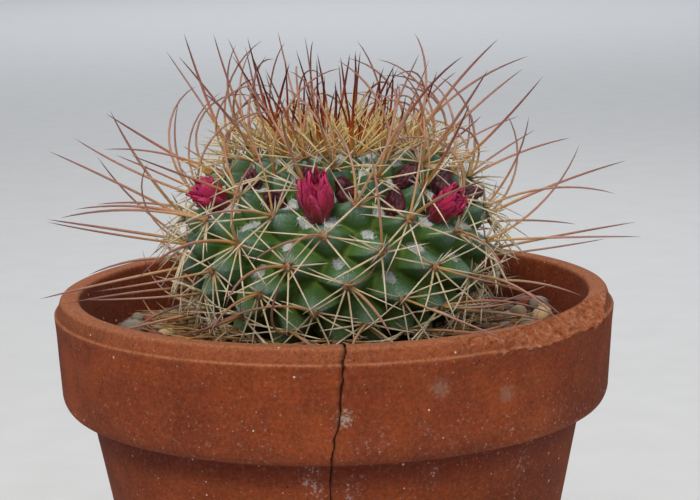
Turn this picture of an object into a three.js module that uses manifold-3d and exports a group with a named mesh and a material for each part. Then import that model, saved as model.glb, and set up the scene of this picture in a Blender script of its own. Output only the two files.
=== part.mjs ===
// Round cactus in a terracotta pot. Millimetres, +Z up. The origin is the middle of the pot's foot,
// and -Y is the side that carries the hairline crack.
import * as THREE from 'three';
import { ConvexHull } from 'three/addons/math/ConvexHull.js';
import { mergeVertices } from 'three/addons/utils/BufferGeometryUtils.js';
import Module from 'manifold-3d';

const wasm = await Module();
wasm.setup();

const FULL_TURN = 2 * Math.PI;
const UP = new THREE.Vector3(0, 0, 1);
const TOUCH_GAP = 0.3;

// Pot: a tapered body with a thick band round its mouth
const POT_HEIGHT = 125;
const POT_SIDES = 40;
const FOOT_RADIUS = 43.1;
const FOOT_BEVEL = 1;
const BODY_TOP_RADIUS = 62;
const BODY_TOP_Z = 95.5;
const BAND_BOTTOM_RADIUS = 66.5;
const BAND_BOTTOM_Z = 97.5;
const BAND_FOOT_RADIUS = 69;
const BAND_FOOT_Z = 102;
const BAND_TOP_RADIUS = 69.9;
const BAND_TOP_Z = 117.3;
const BEAD_RADIUS = 70.3;
const BEAD_Z = 121.3;
const BEAD_HALF_WIDTH = 0.9;
const BEAD_TOP_RADIUS = 69.6;
const LIP_RADIUS = 68.9;
const LIP_ROUND = 1;
const MOUTH_RADIUS = 63.9;
const POT_FLOOR_Z = 8;
const POT_FLOOR_RADIUS = 36.9;
const DRAIN_RADIUS = 7;

// Rough spall along the right front of the rim, knocked out as a row of shallow scoops
const SPALL_START_DEG = 22;
const SPALL_END_DEG = 74;
const SPALL_SCOOPS = 8;
const SCOOP_RADIUS = 22;
const SCOOP_FACES = 4;
const SCOOP_DEPTH = 1.4;
const SPALL_INNER = { radius: 66, z: POT_HEIGHT };
const SPALL_OUTER = { radius: 70.2, z: 120 };
const SCOOP_DEPTH_SPREAD = 0.8;

// Hairline crack down the front: its course by height, as arc length to the right of -Y
const CRACK_WIDTH = 0.5;
const CRACK_DEPTH = 1.4;
const CRACK_COURSE = [
  [2.6, 126], [1.6, 118], [1, 113.5], [0.9, 109.5], [0.2, 106.5], [-0.7, 104], [-1.7, 98],
  [-2.4, 93], [-2.7, 90], [-2, 84], [-0.6, 76], [-1.8, 68], [-0.9, 58], [0.6, 48], [0.2, 41],
];

// Soil with grit on top, and the well that the root stands in
const SOIL_TOP_Z = 112.2;
const WELL_RADIUS = 15;
const WELL_FLOOR_RADIUS = 9;
const WELL_FLOOR_Z = 84;
const GRIT_COUNT = 20;
const GRIT_RING_RADIUS = 52;
const GRIT_RING_SPREAD = 4;
const GRIT_RADIUS = 2.4;
const GRIT_RADIUS_SHARES = [0.75, 1.35];
const GRIT_PROPORTIONS = [1.15, 0.95, 0.7];
const GRIT_LIFT = 0.2;

// Plant: areole k sits on an ellipsoid, a golden turn after areole k - 1
const PLANT_CENTRE = new THREE.Vector3(1.1, 0, 136.4);
const PLANT_RADIUS = 40.3;
const PLANT_HALF_HEIGHT = 29.7;
const GOLDEN_TURN = THREE.MathUtils.degToRad(137.5156);
const FIRST_TURN = THREE.MathUtils.degToRad(7.42);
const APEX_AREOLE = -60;
const CROWN_AREOLE = -29;
const LAST_AREOLE = 77;
const CROWN_COLATITUDE = 0.571;
const CROWN_GROWTH = 0.71;
const CROWN_DIP = 6;
const WAIST_AREOLE = 15;
const AREOLE_SPAN = 40;
const WAIST_LATITUDE = 0.2525;
const LATITUDE_SLOPE = [-0.7771, -0.0335, 0.0505];
const VALLEY_HEIGHT = 0.8;
const SADDLE_HEIGHT = 0.83;
const SHOULDER_PLACE = 0.52;
const SHOULDER_HEIGHT = 0.955;
const FIRST_WHOLE_TUBERCLE = -38;
const LAST_WHOLE_TUBERCLE = 58;
const UNDERSIDE_LATITUDE = -1.15;
const UNDERSIDE_POINTS = 12;
const ROOT_RADIUS = 14.6;
const ROOT_TIP_RADIUS = 8.6;
const ROOT_LENGTH = 34;
const ROOT_SIDES = 16;

// Spines. A kind's ranges run from its lowest to its highest value; elevations are in degrees
// above level, and its bend is what the spine turns by, in radians, from its foot to its tip.
const RADIAL = { spokes: 2, length: [12, 16], rise: 0.4, youngRise: 1.2, sway: 0.3, thickness: 0.75 };
const CROWN_CENTRAL = { elevation: [68, 96], length: [11, 24], bend: [-0.3, 0.3], thickness: 0.95 };
const SHOULDER_CENTRAL = { elevation: [34, 66], length: [30, 40], bend: [0.9, 2], thickness: 1 };
const SIDE_CENTRAL = { elevation: [-13, 12], length: [29, 37], bend: [-0.4, 0.4], thickness: 1 };
const SHOULDER_LATITUDE = THREE.MathUtils.degToRad(22);
const HEADING_SPREAD = THREE.MathUtils.degToRad(34);
const YOUNG_SPINE_SHARE = 0.5;
const STRAIGHT_BEND = 0.01;
const SPINE_SINK = 2.6;
const SPINE_SWELL = 1.15;
const ROOT_SPACING = 0.9;
const SPINE_REACH = 76;
const SPINE_TOP_Z = 193;
const SPINE_CLEARANCE = 1.1;
const SPINE_TESTS = 16;
const GRIT_CLEARANCE = 3.4;
const RIM_CLEARANCE = 3;
const LEAN_TRIALS = 24;
const LEAN_STEP = { aside: 0.12, up: 0.08, shorter: 0.012 };

// Flowers stand in the axil above an areole
const FRESH_RISE = 0.14;
const DRIED_RISE = 0.1;
const AXIL_TURN = -0.05;
const AXIL_HEIGHT = 0.87;
const POCKET_SIDES = 5;
const POCKET_FOOT_SHARE = 0.6;
const POCKET_FLARE_SHARE = 0.36;
const FRESH_FLOWERS = new Map([
  [9, { length: 13, radius: 4.2, uprightness: 0.35 }],
  [10, { length: 11.5, radius: 4, uprightness: 0 }],
  [13, { length: 14.5, radius: 4.7, uprightness: 0.55 }],
  [16, { length: 13, radius: 4.2, uprightness: 0.2 }],
]);
const DRIED_FLOWERS = [-8, -5, -3, -1, 0, 1, 3, 4, 5, 7, 8, 11, 12];
const DRIED = { length: 8, radius: 2.8, uprightness: 0.3 };

// Their profiles as shares of a flower's radius and length
const TUBE_PROFILE = [[0, 0], [0.5, 0], [0.82, 0.35], [0.7, 0.62], [0, 0.72]];
const BUD_PROFILE = [[0, 0], [0.5, 0], [1, 0.4], [0.85, 0.75], [0.35, 1], [0, 0.96]];
const PLEATS = 5;
const PLEAT_DEPTH = 0.3;
const TIP_TWIST = 0.5;
const PETALS = 7;
const PETAL_WIDTH = 2.1;
const PETAL_THICKNESS = 0.8;
const PETAL_TAPER = 0.7;
const PETAL_FOOT_SHARE = 0.3;
const SHORTEST_PETAL_SHARE = 0.82;
const PETAL_CURLS = [0.5, 1.4];
const PETAL_OFFSET_SHARE = 0.5;
const PETAL_BOW_SHARE = 0.38;
const PETAL_SWAY = 0.3;

const finish = (color, roughness) => new THREE.MeshStandardMaterial({ color, roughness, metalness: 0 });
const TERRACOTTA = finish('#a0522f', 0.85);
const SOIL = finish('#6b5a48', 0.95);
const CACTUS_SKIN = finish('#3f6f4c', 0.5);
const FRESH_PETAL = finish('#c8185f', 0.5);
const DRIED_PETAL = finish('#551826', 0.8);

// A number from 0 to 1 for a piece's index, the same on every run
function draw(index, salt) {
  const wave = Math.sin(index * 12.9898 + salt * 78.233) * 43758.5453;
  return wave - Math.floor(wave);
}

const drawBetween = ([low, high], index, salt) => THREE.MathUtils.lerp(low, high, draw(index, salt));

// The solid inside a closed geometry
function solidOf(geometry) {
  const bare = geometry.clone();
  bare.deleteAttribute('normal');
  bare.deleteAttribute('uv');
  const merged = mergeVertices(bare, 1e-4);
  return new wasm.Manifold(new wasm.Mesh({
    numProp: 3,
    vertProperties: new Float32Array(merged.attributes.position.array),
    triVerts: new Uint32Array(merged.index.array),
  }));
}

function meshOf(name, solid, material) {
  const { vertProperties, triVerts } = solid.getMesh();
  const geometry = new THREE.BufferGeometry();
  geometry.setAttribute('position', new THREE.BufferAttribute(vertProperties, 3));
  geometry.setIndex(new THREE.BufferAttribute(triVerts, 1));
  geometry.computeVertexNormals();
  const mesh = new THREE.Mesh(geometry, material);
  mesh.name = name;
  return mesh;
}

// A turned shape about +Z from its [radius, z] profile, listed upwards on the outside
function turned(profile, sides) {
  const points = profile.map(([radius, z]) => new THREE.Vector2(radius, z));
  return new THREE.LatheGeometry(points, sides).rotateX(Math.PI / 2);
}

// Points of a quarter-like bend from one [radius, z] to another round a corner
function bend(from, corner, to, steps) {
  const curve = new THREE.QuadraticBezierCurve(
    new THREE.Vector2(...from), new THREE.Vector2(...corner), new THREE.Vector2(...to));
  return curve.getPoints(steps).map((point) => [point.x, point.y]);
}

// ---- Pot ----

// The pot's outside from foot to lip, drawn in by `inset`
function potOutside(inset) {
  const profile = [
    [FOOT_RADIUS - FOOT_BEVEL, 0],
    [FOOT_RADIUS, FOOT_BEVEL],
    ...bend([BODY_TOP_RADIUS, BODY_TOP_Z], [BODY_TOP_RADIUS, BAND_BOTTOM_Z],
      [BAND_BOTTOM_RADIUS, BAND_BOTTOM_Z], 2),
    ...bend([BAND_BOTTOM_RADIUS, BAND_BOTTOM_Z], [BAND_FOOT_RADIUS, BAND_BOTTOM_Z],
      [BAND_FOOT_RADIUS, BAND_FOOT_Z], 3).slice(1),
    [BAND_TOP_RADIUS, BAND_TOP_Z],
    [BAND_TOP_RADIUS, BEAD_Z - BEAD_HALF_WIDTH],
    [BEAD_RADIUS, BEAD_Z],
    [BEAD_TOP_RADIUS, BEAD_Z + BEAD_HALF_WIDTH],
    ...bend([LIP_RADIUS, POT_HEIGHT - LIP_ROUND], [LIP_RADIUS, POT_HEIGHT],
      [LIP_RADIUS - LIP_ROUND, POT_HEIGHT], 2),
  ];
  return profile.map(([radius, z]) => [radius - inset, z]);
}

function potWall() {
  const inside = [
    ...bend([MOUTH_RADIUS + LIP_ROUND, POT_HEIGHT], [MOUTH_RADIUS, POT_HEIGHT],
      [MOUTH_RADIUS, POT_HEIGHT - LIP_ROUND], 2),
    [POT_FLOOR_RADIUS, POT_FLOOR_Z],
    [DRAIN_RADIUS, POT_FLOOR_Z],
    [DRAIN_RADIUS, 0],
  ];
  const outside = potOutside(0);
  return turned([...outside, ...inside, outside[0]], POT_SIDES);
}

// One shallow scoop, a ball that passes through the spall's inner and outer edges
function scoop(index) {
  const share = index / (SPALL_SCOOPS - 1);
  const angle = THREE.MathUtils.degToRad(THREE.MathUtils.lerp(SPALL_START_DEG, SPALL_END_DEG, share));
  const across = SPALL_OUTER.radius - SPALL_INNER.radius;
  const down = SPALL_INNER.z - SPALL_OUTER.z;
  const width = Math.hypot(across, down);
  const shallow = SCOOP_DEPTH_SPREAD * (draw(index, 1) + (share * 2 - 1) ** 4);
  const lift = SCOOP_RADIUS + shallow - SCOOP_DEPTH;
  const radius = (SPALL_INNER.radius + SPALL_OUTER.radius) / 2 + lift * down / width;
  const z = (SPALL_INNER.z + SPALL_OUTER.z) / 2 + lift * across / width;
  const ball = new THREE.IcosahedronGeometry(SCOOP_RADIUS, SCOOP_FACES);
  ball.rotateX(draw(index, 2) * FULL_TURN).rotateZ(draw(index, 3) * FULL_TURN);
  return solidOf(ball.translate(radius * Math.sin(angle), -radius * Math.cos(angle), z));
}

// The crack is the part of a thin zigzag blade that lies within CRACK_DEPTH of the pot's outside
function crack() {
  const half = CRACK_WIDTH / 2;
  const outline = new THREE.Shape();
  outline.moveTo(CRACK_COURSE[0][0] + half, CRACK_COURSE[0][1]);
  for (const [across, z] of CRACK_COURSE.slice(1)) outline.lineTo(across + half, z);
  for (const [across, z] of CRACK_COURSE.toReversed()) outline.lineTo(across - half, z);
  const blade = new THREE.ExtrudeGeometry(outline, { depth: POT_HEIGHT, bevelEnabled: false });
  const inner = [[0, 0], ...potOutside(CRACK_DEPTH), [0, POT_HEIGHT]];
  return solidOf(blade.rotateX(Math.PI / 2)).subtract(solidOf(turned(inner, POT_SIDES)));
}

function pot() {
  let wall = solidOf(potWall()).subtract(crack());
  for (let index = 0; index < SPALL_SCOOPS; index += 1) wall = wall.subtract(scoop(index));
  return meshOf('pot', wall, TERRACOTTA);
}

// ---- Soil ----

function mouthRadiusAt(z) {
  const share = (z - POT_FLOOR_Z) / (POT_HEIGHT - LIP_ROUND - POT_FLOOR_Z);
  return THREE.MathUtils.lerp(POT_FLOOR_RADIUS, MOUTH_RADIUS, share);
}

function soil() {
  const bottom = POT_FLOOR_Z + TOUCH_GAP;
  const profile = [
    [0, bottom],
    [mouthRadiusAt(bottom) - 2 * TOUCH_GAP, bottom],
    [mouthRadiusAt(SOIL_TOP_Z) - 2 * TOUCH_GAP, SOIL_TOP_Z],
    [WELL_RADIUS, SOIL_TOP_Z],
    [WELL_FLOOR_RADIUS, WELL_FLOOR_Z],
    [0, WELL_FLOOR_Z],
  ];
  let ground = solidOf(turned(profile, POT_SIDES));
  for (let index = 0; index < GRIT_COUNT; index += 1) ground = ground.add(gritStone(index));
  return meshOf('soil', ground, SOIL);
}

function gritStone(index) {
  const angle = (index + 0.5 * draw(index, 4)) * FULL_TURN / GRIT_COUNT;
  const ring = GRIT_RING_RADIUS + GRIT_RING_SPREAD * (2 * draw(index, 5) - 1);
  const size = GRIT_RADIUS * drawBetween(GRIT_RADIUS_SHARES, index, 6);
  const stone = new THREE.IcosahedronGeometry(size, 0);
  stone.rotateX(draw(index, 7) * FULL_TURN).scale(...GRIT_PROPORTIONS);
  stone.rotateZ(draw(index, 8) * FULL_TURN);
  const lie = [ring * Math.sin(angle), -ring * Math.cos(angle), SOIL_TOP_Z + GRIT_LIFT];
  return solidOf(stone.translate(...lie));
}

// ---- Plant body ----

// Latitude of areole k on the plant's ellipsoid, in radians above its waist
function latitudeOf(k) {
  if (k < CROWN_AREOLE) {
    const share = (k - APEX_AREOLE) / (CROWN_AREOLE - APEX_AREOLE);
    return Math.PI / 2 - CROWN_COLATITUDE * share ** CROWN_GROWTH;
  }
  const step = (k - WAIST_AREOLE) / AREOLE_SPAN;
  return LATITUDE_SLOPE.reduce((sum, slope, power) => sum + slope * step ** (power + 1), WAIST_LATITUDE);
}

// Unit direction for a turn from -Y towards +X and a latitude
function directionAt(turn, latitude) {
  return new THREE.Vector3(
    Math.cos(latitude) * Math.sin(turn), -Math.cos(latitude) * Math.cos(turn), Math.sin(latitude));
}

function areoleDirection(k) {
  return directionAt(FIRST_TURN + GOLDEN_TURN * k, latitudeOf(k));
}

// A point of the plant: `height` is 1 at the tubercles' tips. The crown is a little sunken.
function plantPoint(direction, height) {
  const crownStart = Math.cos(CROWN_COLATITUDE);
  const sunken = Math.max(0, direction.z - crownStart) / (1 - crownStart);
  return new THREE.Vector3(PLANT_RADIUS, PLANT_RADIUS, PLANT_HALF_HEIGHT)
    .multiply(direction).multiplyScalar(height).add(PLANT_CENTRE)
    .addScaledVector(UP, -CROWN_DIP * sunken);
}

function plantNormal(direction) {
  return new THREE.Vector3(1 / PLANT_RADIUS, 1 / PLANT_RADIUS, 1 / PLANT_HALF_HEIGHT)
    .multiply(direction).normalize();
}

// Corner lists of the hull round points of the unit sphere, which joins neighbouring areoles
function hullFaces(points) {
  return new ConvexHull().setFromPoints(points).faces.map((face) => {
    const corners = [];
    let edge = face.edge;
    do {
      corners.push(edge.head().point);
      edge = edge.next;
    } while (edge !== face.edge);
    return { corners, middle: face.normal.clone() };
  });
}

const keyOf = (direction) => direction.toArray().map((value) => value.toFixed(5)).join();

// Tubercles: every areole is a tip, valleys run between neighbours, and round a whole tubercle's
// tip stands a shoulder on the way to each corner of its valleys
function tubercleHeights() {
  const tips = [];
  const heights = new Map();
  const keep = (direction, height) => heights.set(keyOf(direction), { direction, height });
  for (let k = APEX_AREOLE; k <= LAST_AREOLE; k += 1) {
    const tip = areoleDirection(k);
    tip.isWhole = k >= FIRST_WHOLE_TUBERCLE && k <= LAST_WHOLE_TUBERCLE;
    tips.push(tip);
    keep(tip, 1);
  }
  for (let index = 0; index < UNDERSIDE_POINTS; index += 1) {
    const under = directionAt(index * FULL_TURN / UNDERSIDE_POINTS, UNDERSIDE_LATITUDE);
    tips.push(under);
    keep(under, VALLEY_HEIGHT);
  }
  for (const { corners, middle } of hullFaces(tips)) {
    keep(middle, VALLEY_HEIGHT);
    corners.forEach((corner, index) => {
      const next = corners[(index + 1) % corners.length];
      keep(corner.clone().add(next).normalize(), SADDLE_HEIGHT);
      if (corner.isWhole) keep(corner.clone().lerp(middle, SHOULDER_PLACE).normalize(), SHOULDER_HEIGHT);
    });
  }
  return heights;
}

function tubercleSkin() {
  const heights = tubercleHeights();
  const positions = [];
  for (const { corners } of hullFaces([...heights.values()].map((entry) => entry.direction))) {
    const placed = corners.map((corner) => plantPoint(corner, heights.get(keyOf(corner)).height));
    for (let next = 1; next < placed.length - 1; next += 1) {
      for (const point of [placed[0], placed[next], placed[next + 1]]) positions.push(...point.toArray());
    }
  }
  const skin = new THREE.BufferGeometry();
  skin.setAttribute('position', new THREE.Float32BufferAttribute(positions, 3));
  return skin;
}

function root() {
  const top = WELL_FLOOR_Z + TOUCH_GAP + ROOT_LENGTH;
  return turned([[0, WELL_FLOOR_Z + TOUCH_GAP], [ROOT_TIP_RADIUS, WELL_FLOOR_Z + TOUCH_GAP],
    [ROOT_RADIUS, SOIL_TOP_Z], [ROOT_RADIUS, top], [0, top]], ROOT_SIDES);
}

// ---- Flowers ----

function flowerSeat(k, size, rise) {
  const turn = FIRST_TURN + GOLDEN_TURN * k + AXIL_TURN;
  const direction = directionAt(turn, latitudeOf(k) + rise);
  const axis = plantNormal(direction).lerp(UP, size.uprightness).normalize();
  return { base: plantPoint(direction, AXIL_HEIGHT), axis, size };
}

const seats = new Map();
FRESH_FLOWERS.forEach((size, k) => seats.set(k, flowerSeat(k, size, FRESH_RISE)));
DRIED_FLOWERS.forEach((k) => seats.set(k, flowerSeat(k, DRIED, DRIED_RISE)));

// Room for a flower among the tubercles
function pocket({ base, axis, size }) {
  const wide = (size.radius + TOUCH_GAP) / Math.cos(Math.PI / POCKET_SIDES);
  const room = turned([[0, -TOUCH_GAP], [wide * POCKET_FOOT_SHARE, -TOUCH_GAP],
    [wide, size.length * POCKET_FLARE_SHARE], [wide, size.length], [0, size.length]], POCKET_SIDES);
  room.applyQuaternion(new THREE.Quaternion().setFromUnitVectors(UP, axis));
  return solidOf(room.translate(base.x, base.y, base.z));
}

// A petal that bows out from the tube and curls in or out at its tip
function petal({ length, radius }, index) {
  const curl = drawBetween(PETAL_CURLS, index, 21);
  const tall = length * drawBetween([SHORTEST_PETAL_SHARE, 1], index, 22);
  const blade = new THREE.BoxGeometry(PETAL_THICKNESS, PETAL_WIDTH, 1, 1, 1, 2);
  const place = blade.attributes.position;
  for (let corner = 0; corner < place.count; corner += 1) {
    const along = place.getZ(corner) + 0.5;
    const out = radius * (PETAL_OFFSET_SHARE + PETAL_BOW_SHARE * Math.sin(Math.PI * along * curl));
    const width = 1 - PETAL_TAPER * along ** 3;
    const height = tall * THREE.MathUtils.lerp(PETAL_FOOT_SHARE, 1, along);
    place.setXYZ(corner, place.getX(corner) + out, place.getY(corner) * width, height);
  }
  return solidOf(blade.rotateZ((index + PETAL_SWAY * draw(index, 23)) * FULL_TURN / PETALS));
}

const scaled = (profile, { length, radius }) => profile.map(([out, up]) => [out * radius, up * length]);

function freshFlower(size) {
  let bloom = solidOf(turned(scaled(TUBE_PROFILE, size), PETALS));
  for (let index = 0; index < PETALS; index += 1) bloom = bloom.add(petal(size, index));
  return bloom;
}

// A shrivelled flower: a closed bud with pleats that deepen towards its twisted tip
function driedFlower(k) {
  const bud = turned(scaled(BUD_PROFILE, DRIED), PLEATS * 2);
  const place = bud.attributes.position;
  for (let corner = 0; corner < place.count; corner += 1) {
    const [x, y, z] = [place.getX(corner), place.getY(corner), place.getZ(corner)];
    const along = z / DRIED.length;
    const pleat = 1 - PLEAT_DEPTH * along * (0.5 + 0.5 * Math.cos(PLEATS * Math.atan2(y, x)));
    const twist = TIP_TWIST * along * (draw(k, 24) - 0.5);
    place.setXYZ(corner, pleat * (x * Math.cos(twist) - y * Math.sin(twist)),
      pleat * (x * Math.sin(twist) + y * Math.cos(twist)), z);
  }
  return solidOf(bud);
}

function flower(name, solid, { base, axis }, material) {
  const mesh = meshOf(name, solid, material);
  mesh.position.copy(base);
  mesh.quaternion.setFromUnitVectors(UP, axis);
  return mesh;
}

// ---- Spines ----

// A spine is an arc of a circle: a root, the course it leaves it on and the side it bends to
function spinePoint({ root: start, course, over, bend: turned, length }, along) {
  return start.clone()
    .addScaledVector(course, length * Math.sin(turned * along) / turned)
    .addScaledVector(over, length * (1 - Math.cos(turned * along)) / turned);
}

// A spine of the given make that bends towards a direction, or stays all but straight
function spineOf(start, course, towards, length, turned, thickness) {
  const way = course.clone().normalize();
  const over = towards.clone().addScaledVector(way, -towards.dot(way)).normalize();
  const swept = Math.abs(turned) > STRAIGHT_BEND ? turned : STRAIGHT_BEND;
  return { root: start, course: way, over, towards, length, bend: swept, thickness };
}

function areoleFrame(k) {
  const direction = areoleDirection(k);
  const out = plantNormal(direction);
  const turn = FIRST_TURN + GOLDEN_TURN * k;
  const east = new THREE.Vector3(Math.cos(turn), Math.sin(turn), 0);
  return { out, turn, east, north: out.clone().cross(east), foot: plantPoint(direction, 1) };
}

// How young an areole is: 1 at the apex, 0 from CROWN_AREOLE on
function youth(k) {
  return Math.max(0, (CROWN_AREOLE - k) / (CROWN_AREOLE - APEX_AREOLE));
}

function radialSpine(k, index) {
  const { out, east, north, foot } = areoleFrame(k);
  const sway = RADIAL.sway * (draw(k, index) - 0.5);
  const spoke = (index + 0.5 * (k & 1) + sway) * FULL_TURN / RADIAL.spokes;
  const aside = east.clone().multiplyScalar(Math.sin(spoke)).addScaledVector(north, -Math.cos(spoke));
  const course = aside.clone().addScaledVector(out, RADIAL.rise + RADIAL.youngRise * youth(k));
  const length = drawBetween(RADIAL.length, k, index + 10) * (1 - YOUNG_SPINE_SHARE * youth(k));
  const start = foot.clone().addScaledVector(aside, ROOT_SPACING).addScaledVector(out, -SPINE_SINK);
  return spineOf(start, course, out, length + SPINE_SINK, 0, RADIAL.thickness);
}

// The long spine of an areole: on the sides it reaches out about level with its tubercle, from the
// shoulders it arches up and in over the crown, and on the crown it is short and stands up
function centralSpine(k) {
  const { out, turn, foot } = areoleFrame(k);
  const latitude = latitudeOf(k);
  const isOnCrown = k < CROWN_AREOLE;
  const isOnSide = latitude < SHOULDER_LATITUDE;
  const kind = isOnCrown ? CROWN_CENTRAL : (isOnSide ? SIDE_CENTRAL : SHOULDER_CENTRAL);
  const above = THREE.MathUtils.degToRad(drawBetween(kind.elevation, k, 31));
  const elevation = above + (isOnSide ? latitude : 0);
  const heading = turn + HEADING_SPREAD * (draw(k, 32) - 0.5);
  const start = foot.addScaledVector(out, -SPINE_SINK);
  const length = drawBetween(kind.length, k, 34) + SPINE_SINK;
  return spineOf(start, directionAt(heading, elevation), directionAt(heading, elevation + Math.PI / 2),
    length, drawBetween(kind.bend, k, 33), kind.thickness);
}

// Whether a point is clear of the pot, the soil with its grit, the flowers and the set limits
function pointIsClear(point) {
  const radius = Math.hypot(point.x, point.y);
  const overGrit = radius > GRIT_RING_RADIUS - GRIT_RING_SPREAD - GRIT_CLEARANCE ? GRIT_CLEARANCE : 0;
  if (point.z < SOIL_TOP_Z + SPINE_CLEARANCE + overGrit) return false;
  if (radius > MOUTH_RADIUS - RIM_CLEARANCE && point.z < POT_HEIGHT + RIM_CLEARANCE) return false;
  if (Math.max(Math.abs(point.x), Math.abs(point.y)) > SPINE_REACH || point.z > SPINE_TOP_Z) return false;
  for (const { base, axis, size } of seats.values()) {
    const away = point.clone().sub(base);
    const along = away.dot(axis);
    const aside = Math.sqrt(Math.max(0, away.lengthSq() - along * along));
    const isBeside = along > -SPINE_CLEARANCE && along < size.length + SPINE_CLEARANCE;
    if (isBeside && aside < size.radius + SPINE_CLEARANCE) return false;
  }
  return true;
}

function spineIsClear(spine) {
  for (let step = 2; step <= SPINE_TESTS; step += 1) {
    if (!pointIsClear(spinePoint(spine, step / SPINE_TESTS))) return false;
  }
  return true;
}

// Bends a spine upwards and to each side by turns until it is clear, or drops it
function bentClear(spine) {
  const aside = new THREE.Vector3(-spine.root.y, spine.root.x, 0).normalize();
  for (let trial = 0; trial < LEAN_TRIALS; trial += 1) {
    const hand = trial % 2 ? 1 : -1;
    const course = spine.course.clone()
      .addScaledVector(aside, hand * LEAN_STEP.aside * trial)
      .addScaledVector(UP, LEAN_STEP.up * trial);
    const length = spine.length * (1 - LEAN_STEP.shorter * trial);
    const tried = spineOf(spine.root, course, spine.towards, length, spine.bend, spine.thickness);
    if (spineIsClear(tried)) return tried;
  }
  return null;
}

// The spine that reaches furthest to a side is stretched to SPINE_REACH or SPINE_TOP_Z
function stretchFurthest(spines, axis, sign, limit) {
  const far = (spine) => sign * spinePoint(spine, 1)[axis];
  const furthest = spines.reduce((best, spine) => (far(spine) > far(best) ? spine : best));
  const start = sign * furthest.root[axis];
  furthest.length *= (limit - start) / (far(furthest) - start);
}

// A three-sided needle along the spine, thinning to its tip, with a kink in it if it bends
function needle(spine) {
  const rings = Math.abs(spine.bend) > STRAIGHT_BEND ? 2 : 1;
  const shape = new THREE.ConeGeometry(spine.thickness / 2, 1, 3, rings).translate(0, 0.5, 0);
  shape.rotateX(Math.PI / 2);
  const turnTo = new THREE.Quaternion().setFromUnitVectors(UP, spine.course);
  const place = shape.attributes.position;
  for (let corner = 0; corner < place.count; corner += 1) {
    const along = place.getZ(corner);
    const aside = new THREE.Vector3(place.getX(corner), place.getY(corner), 0);
    if (along * rings > 0.5) aside.multiplyScalar(SPINE_SWELL);
    place.setXYZ(corner, ...spinePoint(spine, along).add(aside.applyQuaternion(turnTo)).toArray());
  }
  return solidOf(shape);
}

function allSpines() {
  const spines = [];
  for (let k = APEX_AREOLE; k <= LAST_AREOLE; k += 1) {
    spines.push(bentClear(centralSpine(k)));
    const isWhole = k >= FIRST_WHOLE_TUBERCLE && k <= LAST_WHOLE_TUBERCLE;
    const radials = isWhole ? RADIAL.spokes : RADIAL.spokes - 1;
    for (let index = 0; index < radials; index += 1) spines.push(bentClear(radialSpine(k, index)));
  }
  const kept = spines.filter((spine) => spine !== null);
  for (const axis of ['x', 'y']) {
    stretchFurthest(kept, axis, 1, SPINE_REACH);
    stretchFurthest(kept, axis, -1, SPINE_REACH);
  }
  stretchFurthest(kept, 'z', 1, SPINE_TOP_Z);
  return kept;
}

function cactus() {
  let body = solidOf(tubercleSkin()).add(solidOf(root()));
  const ground = [[0, POT_FLOOR_Z], [MOUTH_RADIUS, POT_FLOOR_Z],
    [MOUTH_RADIUS, SOIL_TOP_Z + TOUCH_GAP], [WELL_RADIUS - TOUCH_GAP, SOIL_TOP_Z + TOUCH_GAP],
    [WELL_FLOOR_RADIUS - TOUCH_GAP, WELL_FLOOR_Z + TOUCH_GAP], [0, WELL_FLOOR_Z + TOUCH_GAP]];
  body = body.subtract(solidOf(turned(ground, ROOT_SIDES)));
  for (const seat of seats.values()) body = body.subtract(pocket(seat));
  for (const spine of allSpines()) body = body.add(needle(spine));
  return meshOf('cactus', body, CACTUS_SKIN);
}

const group = new THREE.Group();
group.add(pot(), soil(), cactus());
[...FRESH_FLOWERS].forEach(([k, size], index) => {
  group.add(flower(`flower_fresh_${index + 1}`, freshFlower(size), seats.get(k), FRESH_PETAL));
});
DRIED_FLOWERS.forEach((k, index) => {
  group.add(flower(`flower_dried_${index + 1}`, driedFlower(k), seats.get(k), DRIED_PETAL));
});

export default group;
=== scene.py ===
import math
from random import Random

import bmesh
import bpy
from mathutils import Matrix, Vector, kdtree, noise


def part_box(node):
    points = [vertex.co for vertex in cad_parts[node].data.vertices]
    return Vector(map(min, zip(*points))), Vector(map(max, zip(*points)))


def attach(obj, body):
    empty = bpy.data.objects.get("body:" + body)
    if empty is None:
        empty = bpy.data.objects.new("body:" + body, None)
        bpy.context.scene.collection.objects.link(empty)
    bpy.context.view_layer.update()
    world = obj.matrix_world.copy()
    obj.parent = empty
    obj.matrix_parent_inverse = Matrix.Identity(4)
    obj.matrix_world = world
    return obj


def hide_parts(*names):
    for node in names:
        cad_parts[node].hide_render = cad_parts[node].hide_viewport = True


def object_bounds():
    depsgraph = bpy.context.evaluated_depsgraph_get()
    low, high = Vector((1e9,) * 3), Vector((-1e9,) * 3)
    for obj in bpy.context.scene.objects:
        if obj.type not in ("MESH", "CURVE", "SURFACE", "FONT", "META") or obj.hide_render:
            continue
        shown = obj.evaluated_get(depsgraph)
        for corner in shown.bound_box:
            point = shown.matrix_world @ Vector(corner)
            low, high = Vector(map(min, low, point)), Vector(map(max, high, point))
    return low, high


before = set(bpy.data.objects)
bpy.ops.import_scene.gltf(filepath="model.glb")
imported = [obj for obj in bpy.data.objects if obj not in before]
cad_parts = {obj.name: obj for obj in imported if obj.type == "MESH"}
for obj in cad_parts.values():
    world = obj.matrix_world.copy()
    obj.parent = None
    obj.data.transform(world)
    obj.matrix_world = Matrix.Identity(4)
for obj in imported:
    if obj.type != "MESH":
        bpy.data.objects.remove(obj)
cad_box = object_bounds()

# Potted round cactus. Shapes are worked out in millimetres in the part's own frame and turned into
# metres when a piece is finished. +Z is up, and -Y is the front, with the crack in the pot.
MM = 0.001
TURN = 2 * math.pi
UP = Vector((0, 0, 1))

# ---- Sizes, from the frame where it has them ----

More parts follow.
